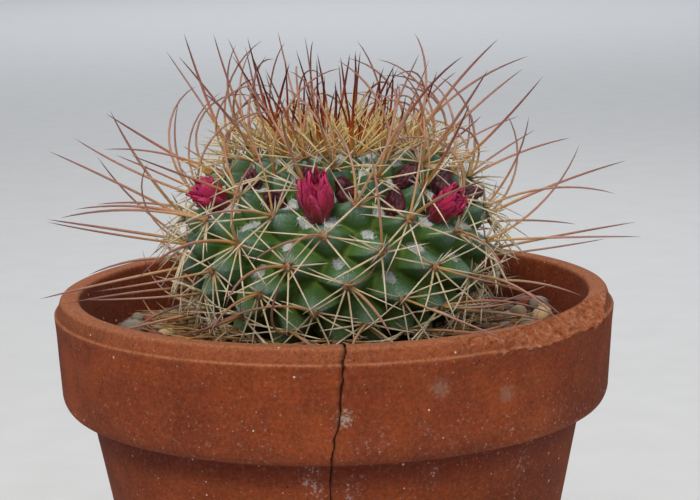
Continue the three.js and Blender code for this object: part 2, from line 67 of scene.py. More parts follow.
POT_TOP = Vector(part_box("pot")[1]) / MM
POT_HEIGHT = POT_TOP.z
BEAD_RADIUS = POT_TOP.x
BEAD_Z = POT_HEIGHT - 3.7
BAND_TOP_RADIUS = BEAD_RADIUS - 0.4
LIP_RADIUS = BEAD_RADIUS - 1.4
MOUTH_RADIUS = BEAD_RADIUS - 6.4
BAND_FOOT_RADIUS = BEAD_RADIUS - 1.3
BAND_ROUND = 3.0
BAND_FOOT_Z = POT_HEIGHT - 23.0
BAND_BOTTOM_Z = POT_HEIGHT - 27.5
BODY_TOP_RADIUS = BEAD_RADIUS - 8.3
BODY_TOP_Z = POT_HEIGHT - 29.5
FOOT_RADIUS = 43.1
POT_FLOOR_Z = 8.0
POT_FLOOR_RADIUS = 36.9
DRAIN_RADIUS = 7.0
POT_COLUMNS = 560

SOIL_TOP_Z = 112.2
SOIL_COLUMNS = 220
WELL_RADIUS = 15.0
WELL_FOOT_RADIUS, WELL_FOOT_Z = 9.0, 84.0

PLANT_CENTRE = Vector((1.1, 0, 136.4))
PLANT_SIZE = Vector((40.3, 40.3, 29.7))
ROOT_LATITUDE, ROOT_FOOT_Z = -0.95, 86.0
GOLDEN_TURN = math.radians(137.5156)
FIRST_TURN = math.radians(7.42)
APEX_AREOLE, CROWN_AREOLE, WAIST_AREOLE, LAST_AREOLE = -60, -29, 15, 77
AREOLE_SPAN = 40
WAIST_LATITUDE = 0.2525
LATITUDE_SLOPE = (-0.7771, -0.0335, 0.0505)
CROWN_COLATITUDE = 0.571
CROWN_GROWTH = 0.71
CROWN_DIP = 6.0
VALLEY_DEPTH = 0.2
MID_SPACING = 0.3

# How far from the axis and how high a spine may reach inside the part's box
REACH = Vector(cad_box[1]).x / MM - 0.4
TOP_Z = Vector(cad_box[1]).z / MM - 3.5


# ---- Small helpers ----

def smooth(low, high, value):
    """0 below low, 1 above high, and a soft step between."""
    share = min(max((value - low) / (high - low), 0.0), 1.0)
    return share * share * (3 - 2 * share)


def mix(low, high, share):
    return low + (high - low) * share


def at_turn(radius, turn, z):
    """A point by its distance from the axis, its turn from -Y towards +X, and its height."""
    return Vector((radius * math.sin(turn), -radius * math.cos(turn), z))


def noise_spot(draw, reach=50, axes=2):
    """A random place in the noise, so that no two pieces share a pattern."""
    return Vector([draw.uniform(-reach, reach) for _ in range(axes)] + [0.0] * (3 - axes))


def bent_points(start, corner, end, steps):
    """Points of a soft bend from start to end round a corner."""
    shares = [step / steps for step in range(steps + 1)]
    return [start.lerp(corner, share).lerp(corner.lerp(end, share), share) for share in shares]


def between(start, end, steps):
    """Points from start up to, but without, end."""
    return [start.lerp(end, step / steps) for step in range(steps)]


def float_layers(work, *names):
    return {name: work.verts.layers.float.new(name) for name in names}


def at(radius, z):
    """A point of a section that is turned round +Z."""
    return Vector((radius, 0, z))


def spin_section(work, points, steps, is_ring=False):
    """Turns a row of points round +Z into a closed skin; a ring of them is closed first."""
    section = [work.verts.new(point) for point in points]
    edges = [work.edges.new(pair) for pair in zip(section, section[1:] + section[:is_ring])]
    bmesh.ops.spin(work, geom=section + edges, cent=(0, 0, 0), axis=(0, 0, 1), dvec=(0, 0, 0),
                   angle=TURN, steps=steps, use_merge=True)
    bmesh.ops.remove_doubles(work, verts=work.verts, dist=0.001)
    bmesh.ops.holes_fill(work, edges=[edge for edge in work.edges if edge.is_boundary], sides=60)
    bmesh.ops.recalc_face_normals(work, faces=work.faces)


def new_object(name, data):
    made = bpy.data.objects.new(name, data)
    bpy.context.scene.collection.objects.link(made)
    return made


def new_mesh_object(work, name, material):
    mesh = bpy.data.meshes.new(name)
    work.to_mesh(mesh)
    work.free()
    mesh.materials.append(material)
    return new_object(name, mesh)


def finish_piece(work, name, material, slot, *stands_for):
    """Turns a bmesh in millimetres into a piece of the part."""
    bmesh.ops.scale(work, vec=(MM, MM, MM), verts=work.verts)
    for face in work.faces:
        face.smooth = True
    piece = new_mesh_object(work, name, material)
    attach(piece, "root")
    if stands_for:
        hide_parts(*stands_for)


# ---- Plant: areoles on an ellipsoid, each a golden turn from the one before ----

def latitude_of(k):
    if k < CROWN_AREOLE:
        share = (k - APEX_AREOLE) / (CROWN_AREOLE - APEX_AREOLE)
        return math.pi / 2 - CROWN_COLATITUDE * share ** CROWN_GROWTH
    step = (k - WAIST_AREOLE) / AREOLE_SPAN
    return WAIST_LATITUDE + sum(slope * step ** (power + 1) for power, slope in enumerate(LATITUDE_SLOPE))


def direction_at(turn, latitude):
    return at_turn(math.cos(latitude), turn, math.sin(latitude))


def turn_of(k):
    return FIRST_TURN + GOLDEN_TURN * k


def areole_direction(k):
    return direction_at(turn_of(k), latitude_of(k))


def plant_point(direction, height):
    """A point of the plant: height is 1 at the tubercles' tips. The crown is a little sunken."""
    crown_start = math.cos(CROWN_COLATITUDE)
    sunken = max(0.0, direction.z - crown_start) / (1 - crown_start)
    return PLANT_CENTRE + direction * PLANT_SIZE * height - UP * CROWN_DIP * sunken


def plant_normal(offset):
    """Unit vector of an offset divided by the plant's size on each axis."""
    return Vector((offset.x / PLANT_SIZE.x, offset.y / PLANT_SIZE.y, offset.z / PLANT_SIZE.z)).normalized()


def youth(k):
    """1 at the apex, 0 from CROWN_AREOLE on."""
    return max(0.0, (CROWN_AREOLE - k) / (CROWN_AREOLE - APEX_AREOLE))


AREOLES = range(APEX_AREOLE, LAST_AREOLE + 1)
areole_tree = kdtree.KDTree(len(AREOLES))
for areole in AREOLES:
    areole_tree.insert(areole_direction(areole), areole - APEX_AREOLE)
areole_tree.balance()

# For each tubercle, the steps to the six nearest others, which cut its flanks into flat facets
FACET_SHARE = 0.85
facet_steps = []
for areole in AREOLES:
    middle = areole_direction(areole)
    others = [near[0] - middle for near in areole_tree.find_n(middle, 7)[1:]]
    facet_steps.append([(step, 2 / step.length_squared) for step in others])


def tubercle_height(direction):
    """Height of the skin, 1 at a tip, and how far down its flank it is, 1 in a valley."""
    near, next_near = areole_tree.find_n(direction, 2)
    round_flank = min(1.0, 2 * near[2] / (near[2] + next_near[2]))
    aside = direction - near[0]
    facet = max(aside.dot(step) * share for step, share in facet_steps[near[1]])
    flank = mix(round_flank, min(1.0, max(0.0, facet)), FACET_SHARE)
    spacing = min(1.0, (near[2] + next_near[2]) / MID_SPACING)
    slope = 0.78 * flank + 0.22 * (1 - math.sqrt(1 - 0.98 * flank * flank))
    return 1 - VALLEY_DEPTH * mix(0.35, 1.0, spacing) * slope, flank


# ---- Flowers: each stands in the axil above an areole ----

FRESH_RISE = 0.14
DRIED_RISE = 0.1
AXIL_TURN = -0.05
AXIL_HEIGHT = 0.87
# For each fresh flower, by areole: how upright it is, its length and its radius
FRESH_AREOLES = {9: (0.35, 13.0, 4.2), 10: (0.0, 11.5, 4.0), 13: (0.55, 14.5, 4.7), 16: (0.2, 13.0, 4.2)}
DRIED_AREOLES = (-8, -5, -3, -1, 0, 1, 3, 4, 5, 7, 8, 11, 12)
DRIED_UPRIGHT, DRIED_LENGTH, DRIED_RADIUS = 0.3, 8.0, 2.8


def flower_seat(k, upright, rise):
    """Where the flower above areole k stands, and which way it points: 0 outwards, 1 upwards."""
    direction = direction_at(turn_of(k) + AXIL_TURN, latitude_of(k) + rise)
    return plant_point(direction, AXIL_HEIGHT), plant_normal(direction).lerp(UP, upright).normalized()


seats = [(*flower_seat(k, upright, FRESH_RISE), length, radius)
         for k, (upright, length, radius) in FRESH_AREOLES.items()]
seats += [(*flower_seat(k, DRIED_UPRIGHT, DRIED_RISE), DRIED_LENGTH, DRIED_RADIUS) for k in DRIED_AREOLES]


# ---- Materials ----

def linear(code):
    """The shader's linear colour for an sRGB hex code."""
    shares = [int(code[place:place + 2], 16) / 255 for place in (1, 3, 5)]
    return [s / 12.92 if s <= 0.04045 else ((s + 0.055) / 1.055) ** 2.4 for s in shares] + [1.0]


# The output that a node gives as a source, where that isn't its first one
MAIN_OUTPUT = {"ShaderNodeMix": 2, "ShaderNodeAttribute": "Fac", "ShaderNodeVectorMath": "Value"}


class Finish:
    """A material in the making, with its Principled shader. Patterns lie on its piece's own coordinates."""

    def __init__(self, name):
        self.material = bpy.data.materials.new(name)
        self.material.use_nodes = True
        self.tree = self.material.node_tree
        self.place = self.add("TexCoord").outputs["Object"]

    def add(self, kind, links=None, stops=(), **settings):
        """Adds a node: settings by name, the stops of a colour ramp, and inputs as connect takes them."""
        node = self.tree.nodes.new("ShaderNode" + kind)
        if kind == "Mix":
            node.data_type = "RGBA"
        for name, value in settings.items():
            setattr(node, name, value)
        for number, (position, code) in enumerate(stops):
            spots = node.color_ramp.elements
            spot = spots[number] if number < 2 else spots.new(position)
            spot.position = position
            spot.color = linear(code)
        if links:
            self.connect(node, {"Vector": self.place, **links} if kind.startswith("Tex") else links)
        return node

    def connect(self, node, links):
        """Fills inputs by socket, from a number, hex colour, attribute's name, node or output."""
        for socket, source in links.items():
            if isinstance(source, str) and not source.startswith("#"):
                source = self.add("Attribute", attribute_name=source)
            if isinstance(source, bpy.types.Node):
                source = source.outputs[MAIN_OUTPUT.get(source.bl_idname, 0)]
            if isinstance(source, bpy.types.NodeSocket):
                self.tree.links.new(source, node.inputs[socket])
            else:
                node.inputs[socket].default_value = linear(source) if isinstance(source, str) else source

    def shade(self, links):
        """Fills the shader's own inputs and gives the material."""
        self.connect(self.tree.nodes["Principled BSDF"], links)
        return self.material


# Marks on the clay: place, radius and strength of a lime-filled hole by the crack and of dusty patches
CLAY_MARKS = (((1.7, -69.7, 109.2), 2.0, 0.85), ((23.1, -65.9, 114.7), 2.6, 0.3),
              ((38.6, -58.0, 111.1), 2.4, 0.25))
# Lime specks and dark pits of 0.2 to 0.6 mm: spacing and widest size, share of cells, strength, colour
CLAY_SPECKS = ((1.1, 0.2, 0.35, 0.6, "#b08b74"), (3.0, 0.11, 0.25, 0.85, "#dccbb8"),
               (1.0, 0.2, 0.4, 0.6, "#43200f"), (2.3, 0.13, 0.3, 0.7, "#30170c"))


def terracotta_clay():
    """Earthenware, pressed and fired unglazed: matt orange-brown with fine turning lines, grit and
    lime specks, paler on its edges with a painted highlight and some wear, darker under the band from damp
    and painted shade, chalky with salt low down, fresh and sandy in the spall."""
    look = Finish("unglazed_terracotta")
    add = look.add
    cloud = add("TexNoise", {"Scale": 1 / (22 * MM), "Detail": 8, "Roughness": 0.74})
    base = add("ValToRGB", {"Fac": cloud}, [(0.32, "#752f11"), (0.68, "#a44c1e"), (0.5, "#8d3e18")])
    grain = add("TexNoise", {"Scale": 1 / (0.8 * MM), "Detail": 5, "Roughness": 0.8})
    grit_tone = add("ValToRGB", {"Fac": grain}, [(0.34, "#4e4e4e"), (0.66, "#c4c4c4")])
    grained = add("Mix", {0: 0.6, 6: base, 7: grit_tone}, blend_type="OVERLAY")
    ringed = add("Mapping", {"Vector": look.place, "Scale": (0.03, 0.03, 1)})
    lines = add("TexNoise", {"Vector": ringed, "Scale": 1 / (0.7 * MM), "Detail": 2})
    colour = add("Mix", {0: 0.2, 6: grained, 7: lines.outputs["Color"]}, blend_type="SOFT_LIGHT")

    # The body below the band is darker and redder from damp, with painted shade deepest right under the band;
    # so is the inside, down from the rim
    colour = add("Mix", {0: "damp_and_shade", 6: colour, 7: "#541304"})

    # The bead, the strip above it and the top of the rim are painted paler: a painted highlight where they
    # face up to the light, with some wear
    highlight_grain = add("MapRange", {"Value": grain, "From Min": 0.25, "From Max": 0.6})
    wear_and_highlight = add("Math", {0: "wear_and_highlight", 1: highlight_grain}, operation="MULTIPLY")
    colour = add("Mix", {0: wear_and_highlight, 6: colour, 7: "#bd7d56"})

    # Chalky salt in crisp flecks: sparse all over, close where the clay stayed damp, with a faint haze
    powder = add("TexNoise", {"Scale": 1 / (1.0 * MM), "Detail": 5, "Roughness": 0.75})
    salt = add("Math", {0: "bloom", 1: 0.26, 2: powder}, operation="MULTIPLY_ADD")
    for low, high, part, code in ((0.48, 0.95, 0.25, "#a07868"), (0.69, 0.77, 0.58, "#bdaeb0")):
        mask = add("MapRange", {"Value": salt, "From Min": low, "From Max": high, "To Max": part})
        colour = add("Mix", {0: mask, 6: colour, 7: code})

    for cell, widest, share, part, code in CLAY_SPECKS:
        specks = add("TexVoronoi", {"Scale": 1 / (cell * MM)})
        pick = add("SeparateColor", {"Color": specks.outputs["Color"]})
        size = add("Math", {0: pick.outputs[1], 1: widest * 0.7, 2: widest * 0.3}, operation="MULTIPLY_ADD")
        near = add("Math", {0: specks, 1: size}, operation="LESS_THAN")
        some = add("Math", {0: pick, 1: 1 - share}, operation="GREATER_THAN")
        mask = add("Math", {0: near, 1: some}, operation="MULTIPLY")
        faded = add("Math", {0: mask, 1: part}, operation="MULTIPLY")
        colour = add("Mix", {0: faded, 6: colour, 7: code})
    for spot, radius, strength in CLAY_MARKS:
        away = add("VectorMath", {0: look.place, 1: Vector(spot) * MM}, operation="DISTANCE")
        ragged = add("Math", {0: powder, 1: 5 * radius * MM, 2: away}, operation="MULTIPLY_ADD")
        mask = add("MapRange", {"Value": ragged, "From Min": 3.4 * radius * MM,
                                "From Max": 2.9 * radius * MM, "To Max": strength})
        colour = add("Mix", {0: mask, 6: colour, 7: "#a39384"})

    # Broken clay in the spall is paler and sandy
    sand = add("TexNoise", {"Scale": 1 / (1.9 * MM), "Detail": 6, "Roughness": 0.78})
    broken = add("ValToRGB", {"Fac": sand},
                 [(0.34, "#8c4020"), (0.68, "#f4d6c0"), (0.47, "#c66e42"), (0.6, "#da926a")])
    fresh = add("Math", {0: "spall", 1: 0.9}, operation="MULTIPLY")
    colour = add("Mix", {0: fresh, 6: colour, 7: broken})

    # The crack is black where it is open; further down dust and lime have half filled it
    filling = add("ValToRGB", {"Fac": salt}, [(0.55, "#120906"), (0.85, "#6d5a42")])
    colour = add("Mix", {0: "crack", 6: colour, 7: filling})

    turned = add("Bump", {"Height": lines, "Distance": 0.08 * MM, "Strength": 0.5})
    gritty = add("Bump", {"Height": grain, "Distance": 0.35 * MM, "Strength": 1.0, "Normal": turned})
    rough = add("Math", {0: sand, 1: "spall"}, operation="MULTIPLY")
    bump = add("Bump", {"Height": rough, "Distance": 1.8 * MM, "Strength": 1.0, "Normal": gritty})
    return look.shade({"Base Color": colour, "Roughness": 0.9, "Specular IOR Level": 0.25, "Normal": bump})


def dry_compost():
    """Dry mineral compost: dull brown crumbs a millimetre or two across."""
    look = Finish("dry_mineral_compost")
    crumbs = look.add("TexVoronoi", {"Scale": 1 / (1.8 * MM)})
    tone = look.add("SeparateColor", {"Color": crumbs.outputs["Color"]})
    colour = look.add("ValToRGB", {"Fac": tone},
                      [(0.0, "#3a2a1e"), (1.0, "#8d7a62"), (0.4, "#54402f"), (0.8, "#6f5a46")])
    dust = look.add("TexNoise", {"Scale": 1 / (0.5 * MM), "Detail": 4})
    dusty = look.add("Mix", {0: 0.4, 6: colour, 7: dust.outputs["Color"]}, blend_type="OVERLAY")
    bump = look.add("Bump", {"Height": crumbs, "Distance": 0.7 * MM, "Strength": 0.9})
    return look.shade({"Base Color": dusty, "Roughness": 0.95, "Normal": bump})


def washed_gravel():
    """Washed river gravel: each stone its own tone of tan, grey, cream or brick, with fine mottling."""
    look = Finish("washed_gravel")
    tone = look.add("ValToRGB", {"Fac": "tint"},
                    [(0.0, "#8d8478"), (1.0, "#c9bfae"), (0.25, "#a98d6c"), (0.45, "#c2a57c"),
                     (0.62, "#7f776c"), (0.78, "#8f4a34")])
    tone.color_ramp.interpolation = "CONSTANT"
    mottle = look.add("TexNoise", {"Scale": 1 / (0.8 * MM), "Detail": 6, "Roughness": 0.7})
    mottled = look.add("Mix", {0: 0.4, 6: tone, 7: mottle.outputs["Color"]}, blend_type="OVERLAY")
    bump = look.add("Bump", {"Height": mottle, "Distance": 0.15 * MM, "Strength": 0.5})
    return look.shade({"Base Color": mottled, "Roughness": 0.7, "Normal": bump})


def cactus_skin():
    """Living cactus skin: a blue-grey waxy bloom with fine pale dots on the tips of the tubercles,
    fresh green down their flanks, and yellow-green where the bases meet."""
    look = Finish("waxy_cactus_skin")
    add = look.add
    cloud = add("TexNoise", {"Scale": 1 / (7 * MM), "Detail": 4, "Roughness": 0.6})
    wander = add("Math", {0: cloud, 1: 0.34, 2: -0.17}, operation="MULTIPLY_ADD")
    down = add("Math", {0: "flank", 1: wander}, operation="ADD")
    young = add("ValToRGB", {"Fac": down}, [(0.0, "#789084"), (1.0, "#647a34"), (0.3, "#627e6c"),
                                            (0.58, "#4a6b42"), (0.84, "#45672a")])
    old = add("ValToRGB", {"Fac": down},
              [(0.0, "#5c7354"), (1.0, "#5a5726"), (0.4, "#4c663a"), (0.75, "#526524")])
    old_share = add("MapRange", {"Value": "years", "From Min": 0.72, "From Max": 1.0})
    green = add("Mix", {0: old_share, 6: young, 7: old})
    # Pale stomata dots, drawn at 0.35 mm, coarser than life, so that they show
    dots = add("TexVoronoi", {"Scale": 1 / (0.55 * MM)})
    dot_mask = add("MapRange", {"Value": dots, "From Min": 0.34, "From Max": 0.2, "To Max": 0.5})
    frost = add("MapRange", {"Value": down, "From Min": 0.8, "From Max": 0.2})
    dotting = add("Math", {0: dot_mask, 1: frost}, operation="MULTIPLY")
    dotted = add("Mix", {0: dotting, 6: green, 7: "#b5c8b8"})
    corked = add("Mix", {0: "cork", 6: dotted, 7: "#6d5a3a"})
    fine = add("Bump", {"Height": dots, "Distance": 0.05 * MM, "Strength": 0.5})
    bump = add("Bump", {"Height": cloud, "Distance": 0.5 * MM, "Strength": 0.35, "Normal": fine})
    return look.shade({"Base Color": corked, "Roughness": 0.8, "Specular IOR Level": 0.22, "Normal": bump,
                       "Subsurface Weight": 0.08, "Subsurface Radius": (0.4, 0.9, 0.25),
                       "Subsurface Scale": 1.5 * MM})


def spine_horn(name, young_stops, old_stops):
    """Dry horny spine, coloured from its root to its tip, and by the age of its areole."""
    look = Finish(name)
    young, old = (look.add("ValToRGB", {"Fac": "along"}, stops) for stops in (young_stops, old_stops))
    aged = look.add("Mix", {0: "years", 6: young, 7: old})
    streak = look.add("TexNoise", {"Scale": 1 / (1.5 * MM), "Detail": 3})
    streaked = look.add("Mix", {0: 0.3, 6: aged, 7: streak.outputs["Color"]}, blend_type="SOFT_LIGHT")
    return look.shade({"Base Color": streaked, "Roughness": 0.5, "Specular IOR Level": 0.28,
                       "Subsurface Weight": 0.08, "Subsurface Scale": 0.5 * MM})


def areole_wool(name, light, shade):
    """Matted plant hair: matt off-white fibres with dull hollows between them, greyer with age."""
    look = Finish(name)
    mat = look.add("TexNoise", {"Scale": 1 / (0.6 * MM), "Detail": 5, "Roughness": 0.8})
    tone = look.add("ValToRGB", {"Fac": mat}, [(0.32, shade), (0.62, light)])
    dulled = look.add("Math", {0: "years", 1: 0.75}, operation="MULTIPLY")
    aged = look.add("Mix", {0: dulled, 6: tone, 7: "#a2aaa4"})
    bump = look.add("Bump", {"Height": mat, "Distance": 0.3 * MM, "Strength": 1.0})
    return look.shade({"Base Color": aged, "Roughness": 1.0, "Sheen Weight": 0.4, "Normal": bump,
                       "Subsurface Weight": 0.3, "Subsurface Scale": 0.5 * MM})


def petal_skin(name, stops, edge, sheen):
    """Thin petal tissue: deeper at the root and paler at the rims, finely veined. On a dried flower the rim
    colour lies on the ridges of its folds, as a painted highlight.
    """
    look = Finish(name)
    body = look.add("ValToRGB", {"Fac": "along"}, stops)
    # Paler rims; on a dried flower the same colour lies on the ridges of its folds, as a painted highlight
    rim_and_highlight_mask = look.add("MapRange", {"Value": "across", "From Min": 0.5, "From Max": 0.95, "To Max": 0.55})
    rims_and_highlights = look.add("Mix", {0: rim_and_highlight_mask, 6: body, 7: edge})
    vein = look.add("TexNoise", {"Scale": 1 / (0.7 * MM), "Detail": 4})
    veined = look.add("Mix", {0: 0.6, 6: rims_and_highlights, 7: vein.outputs["Color"]}, blend_type="OVERLAY")
    bump = look.add("Bump", {"Height": vein, "Distance": 0.15 * MM, "Strength": 0.6})
    return look.shade({"Base Color": veined, "Roughness": 0.5, "Sheen Weight": sheen, "Normal": bump,
                       "Subsurface Weight": 0.15, "Subsurface Scale": 0.6 * MM})


# ---- Pot ----

# The crack: heights, and how far to the right of the front it runs there, as an arc length
CRACK_COURSE = ((126, 2.6), (122.5, 2.1), (118, 1.6), (113.5, 1.0), (109.5, 0.9), (106.5, 0.2), (104, -0.7),
                (98, -1.7), (93, -2.4), (90, -2.7), (84, -2.0), (76, -0.6), (68, -1.8), (58, -0.9), (48, 0.6),
                (41, 0.2))
CRACK_DEPTH = 1.6
CRACK_FOOT_Z = 40.0
# Columns on either side of the crack that gather to it, that lie in its gap, and that it darkens
GATHERED_COLUMNS, GAP_COLUMNS, DARK_COLUMNS = 7, 0.6, 1.6

SPALL_START, SPALL_END, SPALL_FOOT_Z = math.radians(15), math.radians(86), 105
SPALL_OUTER = at(BEAD_RADIUS, BEAD_Z - 0.7)
SPALL_TOP_RADII = (67.8, 65.0)

# Where salt has come through the clay: place, radius and strength
SALT_SPOTS = (((-6.0, -61.8, 92.5), 3.0, 0.62), ((-4.8, -61.4, 88.0), 2.6, 0.55),
              ((2.8, -61.4, 90.0), 2.8, 0.58), ((21.0, -58.0, 91.0), 2.6, 0.4),
              ((-2.0, -62.0, 84.0), 4.0, 0.5), ((44.0, -44.0, 90.0), 4.0, 0.38),
              ((20.0, -66.0, 105.0), 1.8, 0.3), ((8.0, -69.0, 103.5), 3.0, 0.22))


def pot_profile():
    """The pot's section, closed, with close points where it spalled."""
    body_top = at(BODY_TOP_RADIUS, BODY_TOP_Z)
    band_top = at(BAND_TOP_RADIUS, BEAD_Z - 4)
    bead_foot = at(BEAD_RADIUS - 0.05, BEAD_Z - 0.3)
    lip = at(LIP_RADIUS, POT_HEIGHT - 1.0)
    mouth = at(MOUTH_RADIUS + 1.3, POT_HEIGHT)
    floor = at(POT_FLOOR_RADIUS, POT_FLOOR_Z)
    under_band = BAND_FOOT_RADIUS - BAND_ROUND
    foot = bent_points(at(FOOT_RADIUS - 0.8, 0), at(FOOT_RADIUS, 0), at(FOOT_RADIUS + 0.2, 1.0), 3)
    hollow = bent_points(body_top, at(BODY_TOP_RADIUS + 0.5, BAND_BOTTOM_Z), at(under_band, BAND_BOTTOM_Z), 8)
    sweep = [at(under_band + BAND_ROUND * math.sin(bend), mix(BAND_FOOT_Z, BAND_BOTTOM_Z, math.cos(bend)))
             for bend in (math.radians(step * 10) for step in range(1, 10))]
    bead = bent_points(bead_foot, at(BEAD_RADIUS + 0.05, BEAD_Z + 0.15),
                       at(BEAD_RADIUS - 0.8, BEAD_Z + 0.5), 7)
    outer = bent_points(lip, at(LIP_RADIUS - 0.2, POT_HEIGHT), at(LIP_RADIUS - 1.2, POT_HEIGHT), 4)
    inner = bent_points(mouth, at(MOUTH_RADIUS, POT_HEIGHT), at(MOUTH_RADIUS, POT_HEIGHT - 1.3), 4)
    return [at(DRAIN_RADIUS, 0), at(FOOT_RADIUS - 1.0, 0), *foot, *between(foot[-1], body_top, 30)[1:],
            *hollow, *sweep, *between(sweep[-1], band_top, 14)[1:], *between(band_top, bead_foot, 7), *bead,
            *between(bead[-1], lip, 6)[1:], *outer, *between(outer[-1], mouth, 7)[1:], *inner,
            *between(inner[-1], floor, 16)[1:], floor, at(DRAIN_RADIUS, POT_FLOOR_Z)]


def crack_across(z):
    """How far to the right of the front the crack runs at a height."""
    for (high, right), (low, left) in zip(CRACK_COURSE, CRACK_COURSE[1:]):
        if z >= low:
            return mix(left, right, (z - low) / (high - low))
    return CRACK_COURSE[-1][1]


def spall_depth(radius, turn, z):
    """How far a point stands out of the rough face that the spall left, below 0 if it is under it, and
    the way out of that face."""
    share = (turn - SPALL_START) / (SPALL_END - SPALL_START)
    inner = at(mix(*SPALL_TOP_RADII, smooth(0.2, 0.65, share)), POT_HEIGHT)
    way = SPALL_OUTER - inner
    out = at(-way.z, way.x).normalized()
    spot = Vector((turn * BEAD_RADIUS, radius, z))
    rough = 0.6 * noise.noise(spot / 8) + 0.55 * noise.noise(spot / 2.8) + 0.55 * noise.noise(spot / 1.3)
    ends = 1.8 * (1 - smooth(0.0, 0.22, share)) + 2.4 * smooth(0.7, 1.0, share)
    return (at(radius, z) - inner).dot(out) - rough - ends + 0.3, out


def mark_clay(corner, layers, radius, turn, z, is_outside):
    """Marks how salty the clay is at a point of the pot, where it is painted paler (a painted highlight with
    some wear) and where it is darker (damp, with painted shade under the band).
    """
    low_band = smooth(BAND_BOTTOM_Z + 14, BAND_BOTTOM_Z, z) * smooth(BODY_TOP_Z - 1, BAND_BOTTOM_Z, z)
    right_side = smooth(0.2, 0.8, turn) * smooth(BEAD_Z, BODY_TOP_Z, z)
    salt = max(part * math.exp(-((corner.co - Vector(spot)).length / reach) ** 2)
               for spot, reach, part in SALT_SPOTS)
    corner[layers["bloom"]] = 0.18 + 0.14 * low_band + salt + 0.35 * smooth(30, 0, z) + 0.08 * right_side
    # A painted highlight, with some wear: on the bead's crest, the strip above it and the top of the rim
    on_strip = smooth(BEAD_Z + 0.4, BEAD_Z + 1.0, z) * (radius > MOUTH_RADIUS + 0.5)
    on_top = smooth(POT_HEIGHT - 0.9, POT_HEIGHT - 0.2, z)
    on_bead = math.exp(-((z - BEAD_Z - 0.1) / 0.32) ** 2) * (radius > BEAD_RADIUS - 1)
    corner[layers["wear_and_highlight"]] = max(0.24 * on_strip + 0.4 * on_top, 0.75 * on_bead)
    if is_outside or z >= POT_HEIGHT - 1:
        # Below the band the body is darker from damp, with painted shade deepest right under the band
        below = smooth(BAND_BOTTOM_Z + 1, BODY_TOP_Z, z)
        corner[layers["damp_and_shade"]] = below * (0.1 + 0.6 * smooth(BODY_TOP_Z - 7, BODY_TOP_Z, z))
    else:
        corner[layers["damp_and_shade"]] = 0.5 * smooth(POT_HEIGHT, POT_HEIGHT - 6, z)


def pot():
    """Terracotta pot: turned, cracked and spalled."""
    work = bmesh.new()
    spin_section(work, pot_profile(), POT_COLUMNS, True)
    work.normal_update()
    layers = float_layers(work, "bloom", "spall", "damp_and_shade", "crack", "wear_and_highlight")
    gathered_turn = GATHERED_COLUMNS * TURN / POT_COLUMNS
    for corner in work.verts:
        radius = math.hypot(corner.co.x, corner.co.y)
        turn = math.atan2(corner.co.x, -corner.co.y)
        z = corner.co.z
        is_outside = z > 0.5 and radius > FOOT_RADIUS and corner.normal.xy.dot(corner.co.xy) > -0.2 * radius
        near = abs(turn) / gathered_turn
        if near < 1 and z > CRACK_FOOT_Z - 6:
            # Close columns gather round the crack and follow its course
            narrow = 1.65 - 0.2 * smooth(105, 125, z) + 0.4 * noise.noise(Vector((4, 0, z / 2.5)))
            gathered = math.copysign(near ** narrow, turn) * gathered_turn
            wobble = 0.5 * noise.noise(Vector((0, 0, z / 2.2))) + 0.3 * noise.noise(Vector((0, 9, z / 0.9)))
            turn = mix(turn, gathered, smooth(CRACK_FOOT_Z - 6, CRACK_FOOT_Z, z)) \
                + (1 - near) * (crack_across(z) + wobble) / BEAD_RADIUS
            is_in_gap = near * GATHERED_COLUMNS < GAP_COLUMNS
            if is_in_gap and z > CRACK_FOOT_Z and (is_outside or z > POT_HEIGHT - 12):
                corner.co -= corner.normal * CRACK_DEPTH
                radius, z = math.hypot(corner.co.x, corner.co.y), corner.co.z
            if near * GATHERED_COLUMNS < DARK_COLUMNS and z > CRACK_FOOT_Z:
                corner[layers["crack"]] = 1.0 if is_in_gap else 0.35
        if (is_outside or z > POT_HEIGHT - 3) and SPALL_START < turn < SPALL_END and z > SPALL_FOOT_Z:
            depth, out = spall_depth(radius, turn, z)
            if depth > 0:
                moved = at(radius, z) - out * depth
                radius, z = moved.x, moved.z
                corner[layers["spall"]] = smooth(0.0, 0.5, depth)
        if is_outside:
            wave = 0.18 * noise.noise(Vector((corner.co.x, corner.co.y, z)) / 26)
            radius = min(radius + wave, BEAD_RADIUS - 0.02)
        corner.co = at_turn(radius, turn, max(z, 0.0))
        mark_clay(corner, layers, radius, turn, z, is_outside)
    finish_piece(work, "pot_clay", terracotta_clay(), "terracotta", "pot")


# ---- Soil ----

SOIL_GAP = 0.6
STONE_COUNT, STONE_SIZES = 430, (0.8, 1.0, 1.3, 1.6, 2.1, 2.7)
# The larger pebbles that lie by the wall: place across and back, radius, height and tone of each
PEBBLES = ((54, 20, 2.6, 3.2, 0.1), (50.5, 23, 2.4, 3.4, 0.85), (53.5, 9, 3.0, 2.6, 0.5),
           (48, 14, 2.5, 2.2, 0.3), (50, 2, 3.4, 1.4, 0.7), (55, 14.5, 2.0, 3.0, 0.28),
           (-52, 9, 3.0, 1.6, 0.7), (-49, -6, 2.4, 1.2, 0.3))


def wall_radius_at(z):
    return mix(POT_FLOOR_RADIUS, MOUTH_RADIUS, (z - POT_FLOOR_Z) / (POT_HEIGHT - 1.3 - POT_FLOOR_Z))


